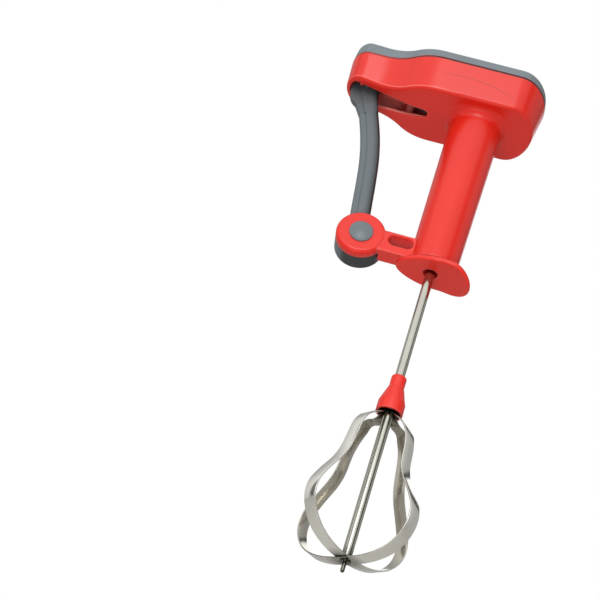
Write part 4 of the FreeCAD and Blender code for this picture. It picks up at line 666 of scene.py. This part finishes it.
for name, turn_deg in STRIP_TURNS_DEG:
    body = bmesh.new()
    body.from_mesh(nodes[name].data)
    bmesh.ops.remove_doubles(body, verts=body.verts, dist=SAME_PLACE)
    rim = [edge for edge in body.edges
           if len(edge.link_faces) == 2
           and edge.calc_face_angle() > math.radians(STRIP_EDGE_DEG)]
    bmesh.ops.bevel(body, geom=rim, offset=EDGE_ROUND, segments=EDGE_ROUND_STEPS,
                    profile=0.5, affect="EDGES", clamp_overlap=True)
    strip_mesh = bpy.data.meshes.new(name + "_strip")
    body.to_mesh(strip_mesh)
    body.free()
    strip = bpy.data.objects.new(name + "_strip", strip_mesh)
    bpy.context.scene.collection.objects.link(strip)
    dress(strip, rolled_strip("stainless_rolled_" + name, turn_deg), ROUNDED_EDGE_DEG)
    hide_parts(name)
    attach(strip, "spindle")


# ---- Whisk collar ------------------------------------------------------------
# A small ABS cone in the shell's red, moulded on the shaft over the ferrule and the tangs.
# The inside of its open mouth is painted black as shade.
MOUTH_SHADE = "#16150f"
MOUTH_RADIUS = 6.85 * MM
MOUTH_ROOF = -158 * MM


def mouth_shade(made, place):
    """A mask of the inside of the collar's mouth."""
    axes = add(made, "SeparateXYZ", (), {"Vector": place.outputs["Object"]})
    plan = add(made, "CombineXYZ", (), {"X": axes.outputs["X"], "Y": axes.outputs["Y"]})
    reach = add(made, "VectorMath", {"operation": "LENGTH"}, {0: plan.outputs["Vector"]})
    within = add(made, "Math", {"operation": "LESS_THAN", 1: MOUTH_RADIUS},
                 {0: reach.outputs["Value"]})
    low = add(made, "Math", {"operation": "LESS_THAN", 1: MOUTH_ROOF}, {0: axes.outputs["Z"]})
    mask = add(made, "Math", {"operation": "MULTIPLY"},
               {0: within.outputs["Value"], 1: low.outputs["Value"]})
    return mask.outputs["Value"]


collar_red = red_abs("red_abs_stoned_mould_collar", ((MOUTH_SHADE, mouth_shade),))
dress(nodes["whisk_collar"], collar_red)


# ---- Floor -------------------------------------------------------------------
# A wide sheet of pale matt paper, well below the part.  It fades to white far out, so that
# it has no horizon, and it is clear from its underside.  It is seen paler than PAPER, the
# tone in which it throws light back at the part.
FLOOR_DROP = 480 * MM
FLOOR_RADIUS = 6000 * MM
FLOOR_SIDES = 96
PAPER = "#c9c8c5"
PAPER_SEEN = "#f7f6f4"
PAPER_FADE = (200 * MM, 2400 * MM)
WHITE = (1.0, 1.0, 1.0, 1.0)
disc = bmesh.new()
bmesh.ops.create_circle(disc, cap_ends=True, segments=FLOOR_SIDES, radius=FLOOR_RADIUS)
floor_mesh = bpy.data.meshes.new("floor")
disc.to_mesh(floor_mesh)
disc.free()
floor = bpy.data.objects.new("floor", floor_mesh)
floor.location = (0, 0, cad_low.z - FLOOR_DROP)
bpy.context.scene.collection.objects.link(floor)
paper = blank("matt_paper")
paper_shader = add(paper, "BsdfDiffuse", {"Color": linear(PAPER)})
paper_seen = add(paper, "BsdfDiffuse", {"Color": linear(PAPER_SEEN)})
paper_far = add(paper, "Emission", {"Color": WHITE})
paper_place = add(paper, "TexCoord")
paper_reach = add(paper, "VectorMath", {"operation": "LENGTH"},
                  {0: paper_place.outputs["Object"]})
paper_fade = add(paper, "MapRange", {"interpolation_type": "SMOOTHSTEP",
                                     "From Min": PAPER_FADE[0], "From Max": PAPER_FADE[1]},
                 {"Value": paper_reach.outputs["Value"]})
paper_sweep = add(paper, "MixShader", (), {0: paper_fade.outputs["Result"],
                                           1: paper_seen.outputs["BSDF"],
                                           2: paper_far.outputs["Emission"]})
paper_rays = add(paper, "LightPath")
paper_mix = add(paper, "MixShader", (), {0: paper_rays.outputs["Is Camera Ray"],
                                         1: paper_shader.outputs["BSDF"],
                                         2: paper_sweep.outputs["Shader"]})
paper_clear = add(paper, "BsdfTransparent")
paper_under = add(paper, "NewGeometry")
paper_side = add(paper, "MixShader", (), {0: paper_under.outputs["Backfacing"],
                                          1: paper_mix.outputs["Shader"],
                                          2: paper_clear.outputs["BSDF"]})
add(paper, "OutputMaterial", (), {"Surface": paper_side.outputs["Shader"]})
dress(floor, paper)


# ---- Room and lamps ----------------------------------------------------------
# A white room with one lit side, which gives the plastics their soft highlights, and three
# dark upright flags, which draw the stripes on the steel.  Two soft boxes and three fills
# light the part, and the fills leave no glint on the steel.
LIT_WAY = Vector((-0.28, -0.86, 0.4)).normalized()
ROOM_LIT = (0.95, "#ffffff")
ROOM_SIDES = (0.4, "#989898")
ROOM_BACK = (0.0, "#a8a8a8")
ROOM_STRENGTH = 1.29
FLAGS_DEG = ((-85, 5), (66, 8), (140, 8))
FLAG_SOFT_DEG = 3
FLAG_TONE = 0.05
room = bpy.data.worlds.new("white_room")
room.use_nodes = True
room.node_tree.nodes.clear()
bpy.context.scene.world = room
lookup = add(room, "TexCoord")
towards = add(room, "VectorMath", {"operation": "DOT_PRODUCT", 1: LIT_WAY},
              {0: lookup.outputs["Generated"]})
share = add(room, "MapRange", {"From Min": -1.0, "From Max": 1.0},
            {"Value": towards.outputs["Value"]})
walls = add(room, "ValToRGB", (), {"Fac": share.outputs["Result"]})
walls.color_ramp.elements[0].position = ROOM_BACK[0]
walls.color_ramp.elements[0].color = linear(ROOM_BACK[1])
walls.color_ramp.elements[1].position = ROOM_LIT[0]
walls.color_ramp.elements[1].color = linear(ROOM_LIT[1])
sides = walls.color_ramp.elements.new(ROOM_SIDES[0])
sides.color = linear(ROOM_SIDES[1])
ways = add(room, "SeparateXYZ", (), {"Vector": lookup.outputs["Generated"]})
depth = add(room, "Math", {"operation": "MULTIPLY", 1: -1.0}, {0: ways.outputs["Y"]})
swing = add(room, "Math", {"operation": "ARCTAN2"},
            {0: ways.outputs["X"], 1: depth.outputs["Value"]})
turn_share = add(room, "MapRange", {"From Min": -math.pi, "From Max": math.pi},
                 {"Value": swing.outputs["Value"]})
flags = add(room, "ValToRGB", (), {"Fac": turn_share.outputs["Result"]})
flags.color_ramp.elements[0].color = WHITE
flags.color_ramp.elements[1].color = WHITE
for middle_deg, half_deg in FLAGS_DEG:
    outer_deg = half_deg + FLAG_SOFT_DEG
    for offset_deg, tone in ((-outer_deg, 1.0), (-half_deg, FLAG_TONE),
                             (half_deg, FLAG_TONE), (outer_deg, 1.0)):
        stop = flags.color_ramp.elements.new((middle_deg + offset_deg) / 360 + 0.5)
        stop.color = (tone, tone, tone, 1.0)
flagged = add(room, "MixRGB", {"blend_type": "MULTIPLY", "Fac": 1.0},
              {"Color1": walls.outputs["Color"], "Color2": flags.outputs["Color"]})
glow = add(room, "Background", {"Strength": ROOM_STRENGTH},
           {"Color": flagged.outputs["Color"]})
backdrop = add(room, "Background", {"Color": WHITE, "Strength": 1.0})
rays = add(room, "LightPath")
choose = add(room, "MixShader", (), {0: rays.outputs["Is Camera Ray"],
                                     1: glow.outputs["Background"],
                                     2: backdrop.outputs["Background"]})
add(room, "OutputWorld", (), {"Surface": choose.outputs["Shader"]})

# Each lamp's name, place and width in metres, power in watts, and whether it gives a glint.
for name, spot, width, power, glint in (
        ("low_box", (-0.16, -1.6, 0.27), 0.5, 5.0, True),
        ("floor_fill", (-0.1, -0.55, -0.64), 0.35, 2.4, False),
        ("side_fill", (0.5, -0.5, -0.3), 0.3, 0.25, False),
        ("back_fill", (0.2, 1.1, 0.4), 0.8, 3.5, False),
        ("rim", (0.2, 1.1, 0.6), 0.8, 2.0, True)):
    lamp_data = bpy.data.lights.new(name, "AREA")
    lamp_data.size = width
    lamp_data.energy = power
    lamp = bpy.data.objects.new(name, lamp_data)
    lamp.location = spot
    lamp.rotation_mode = "QUATERNION"
    lamp.rotation_quaternion = (-Vector(spot)).to_track_quat("-Z", "Y")
    lamp.visible_camera = False
    lamp.visible_glossy = glint
    bpy.context.scene.collection.objects.link(lamp)


# ---- Camera ------------------------------------------------------------------
# It looks up at the part from below its middle, with the shaft leaning to the right.  The
# lens is long, so that the whisk, which is nearer, isn't drawn too large.
VIEW_AZIMUTH = math.radians(7.572)
VIEW_ELEVATION = math.radians(-31.713)
VIEW_ROLL = math.radians(19.451)
EYE_MM = (25.27, -723.69, -557.59)
LENS_MM = 85.02
SENSOR_MM = 36.0
NEAREST = 10 * MM
back = Vector((math.sin(VIEW_AZIMUTH) * math.cos(VIEW_ELEVATION),
               -math.cos(VIEW_AZIMUTH) * math.cos(VIEW_ELEVATION),
               math.sin(VIEW_ELEVATION)))
level = Vector((math.cos(VIEW_AZIMUTH), math.sin(VIEW_AZIMUTH), 0))
rise = back.cross(level)
right = math.cos(VIEW_ROLL) * level + math.sin(VIEW_ROLL) * rise
upward = math.cos(VIEW_ROLL) * rise - math.sin(VIEW_ROLL) * level
lens = bpy.data.cameras.new("camera")
lens.lens = LENS_MM
lens.sensor_width = SENSOR_MM
lens.clip_start = NEAREST
camera = bpy.data.objects.new("camera", lens)
camera.matrix_world = Matrix((
    (right.x, upward.x, back.x, EYE_MM[0] * MM),
    (right.y, upward.y, back.y, EYE_MM[1] * MM),
    (right.z, upward.z, back.z, EYE_MM[2] * MM),
    (0, 0, 0, 1)))
bpy.context.scene.collection.objects.link(camera)
bpy.context.scene.camera = camera
bpy.context.scene.view_settings.view_transform = "Standard"
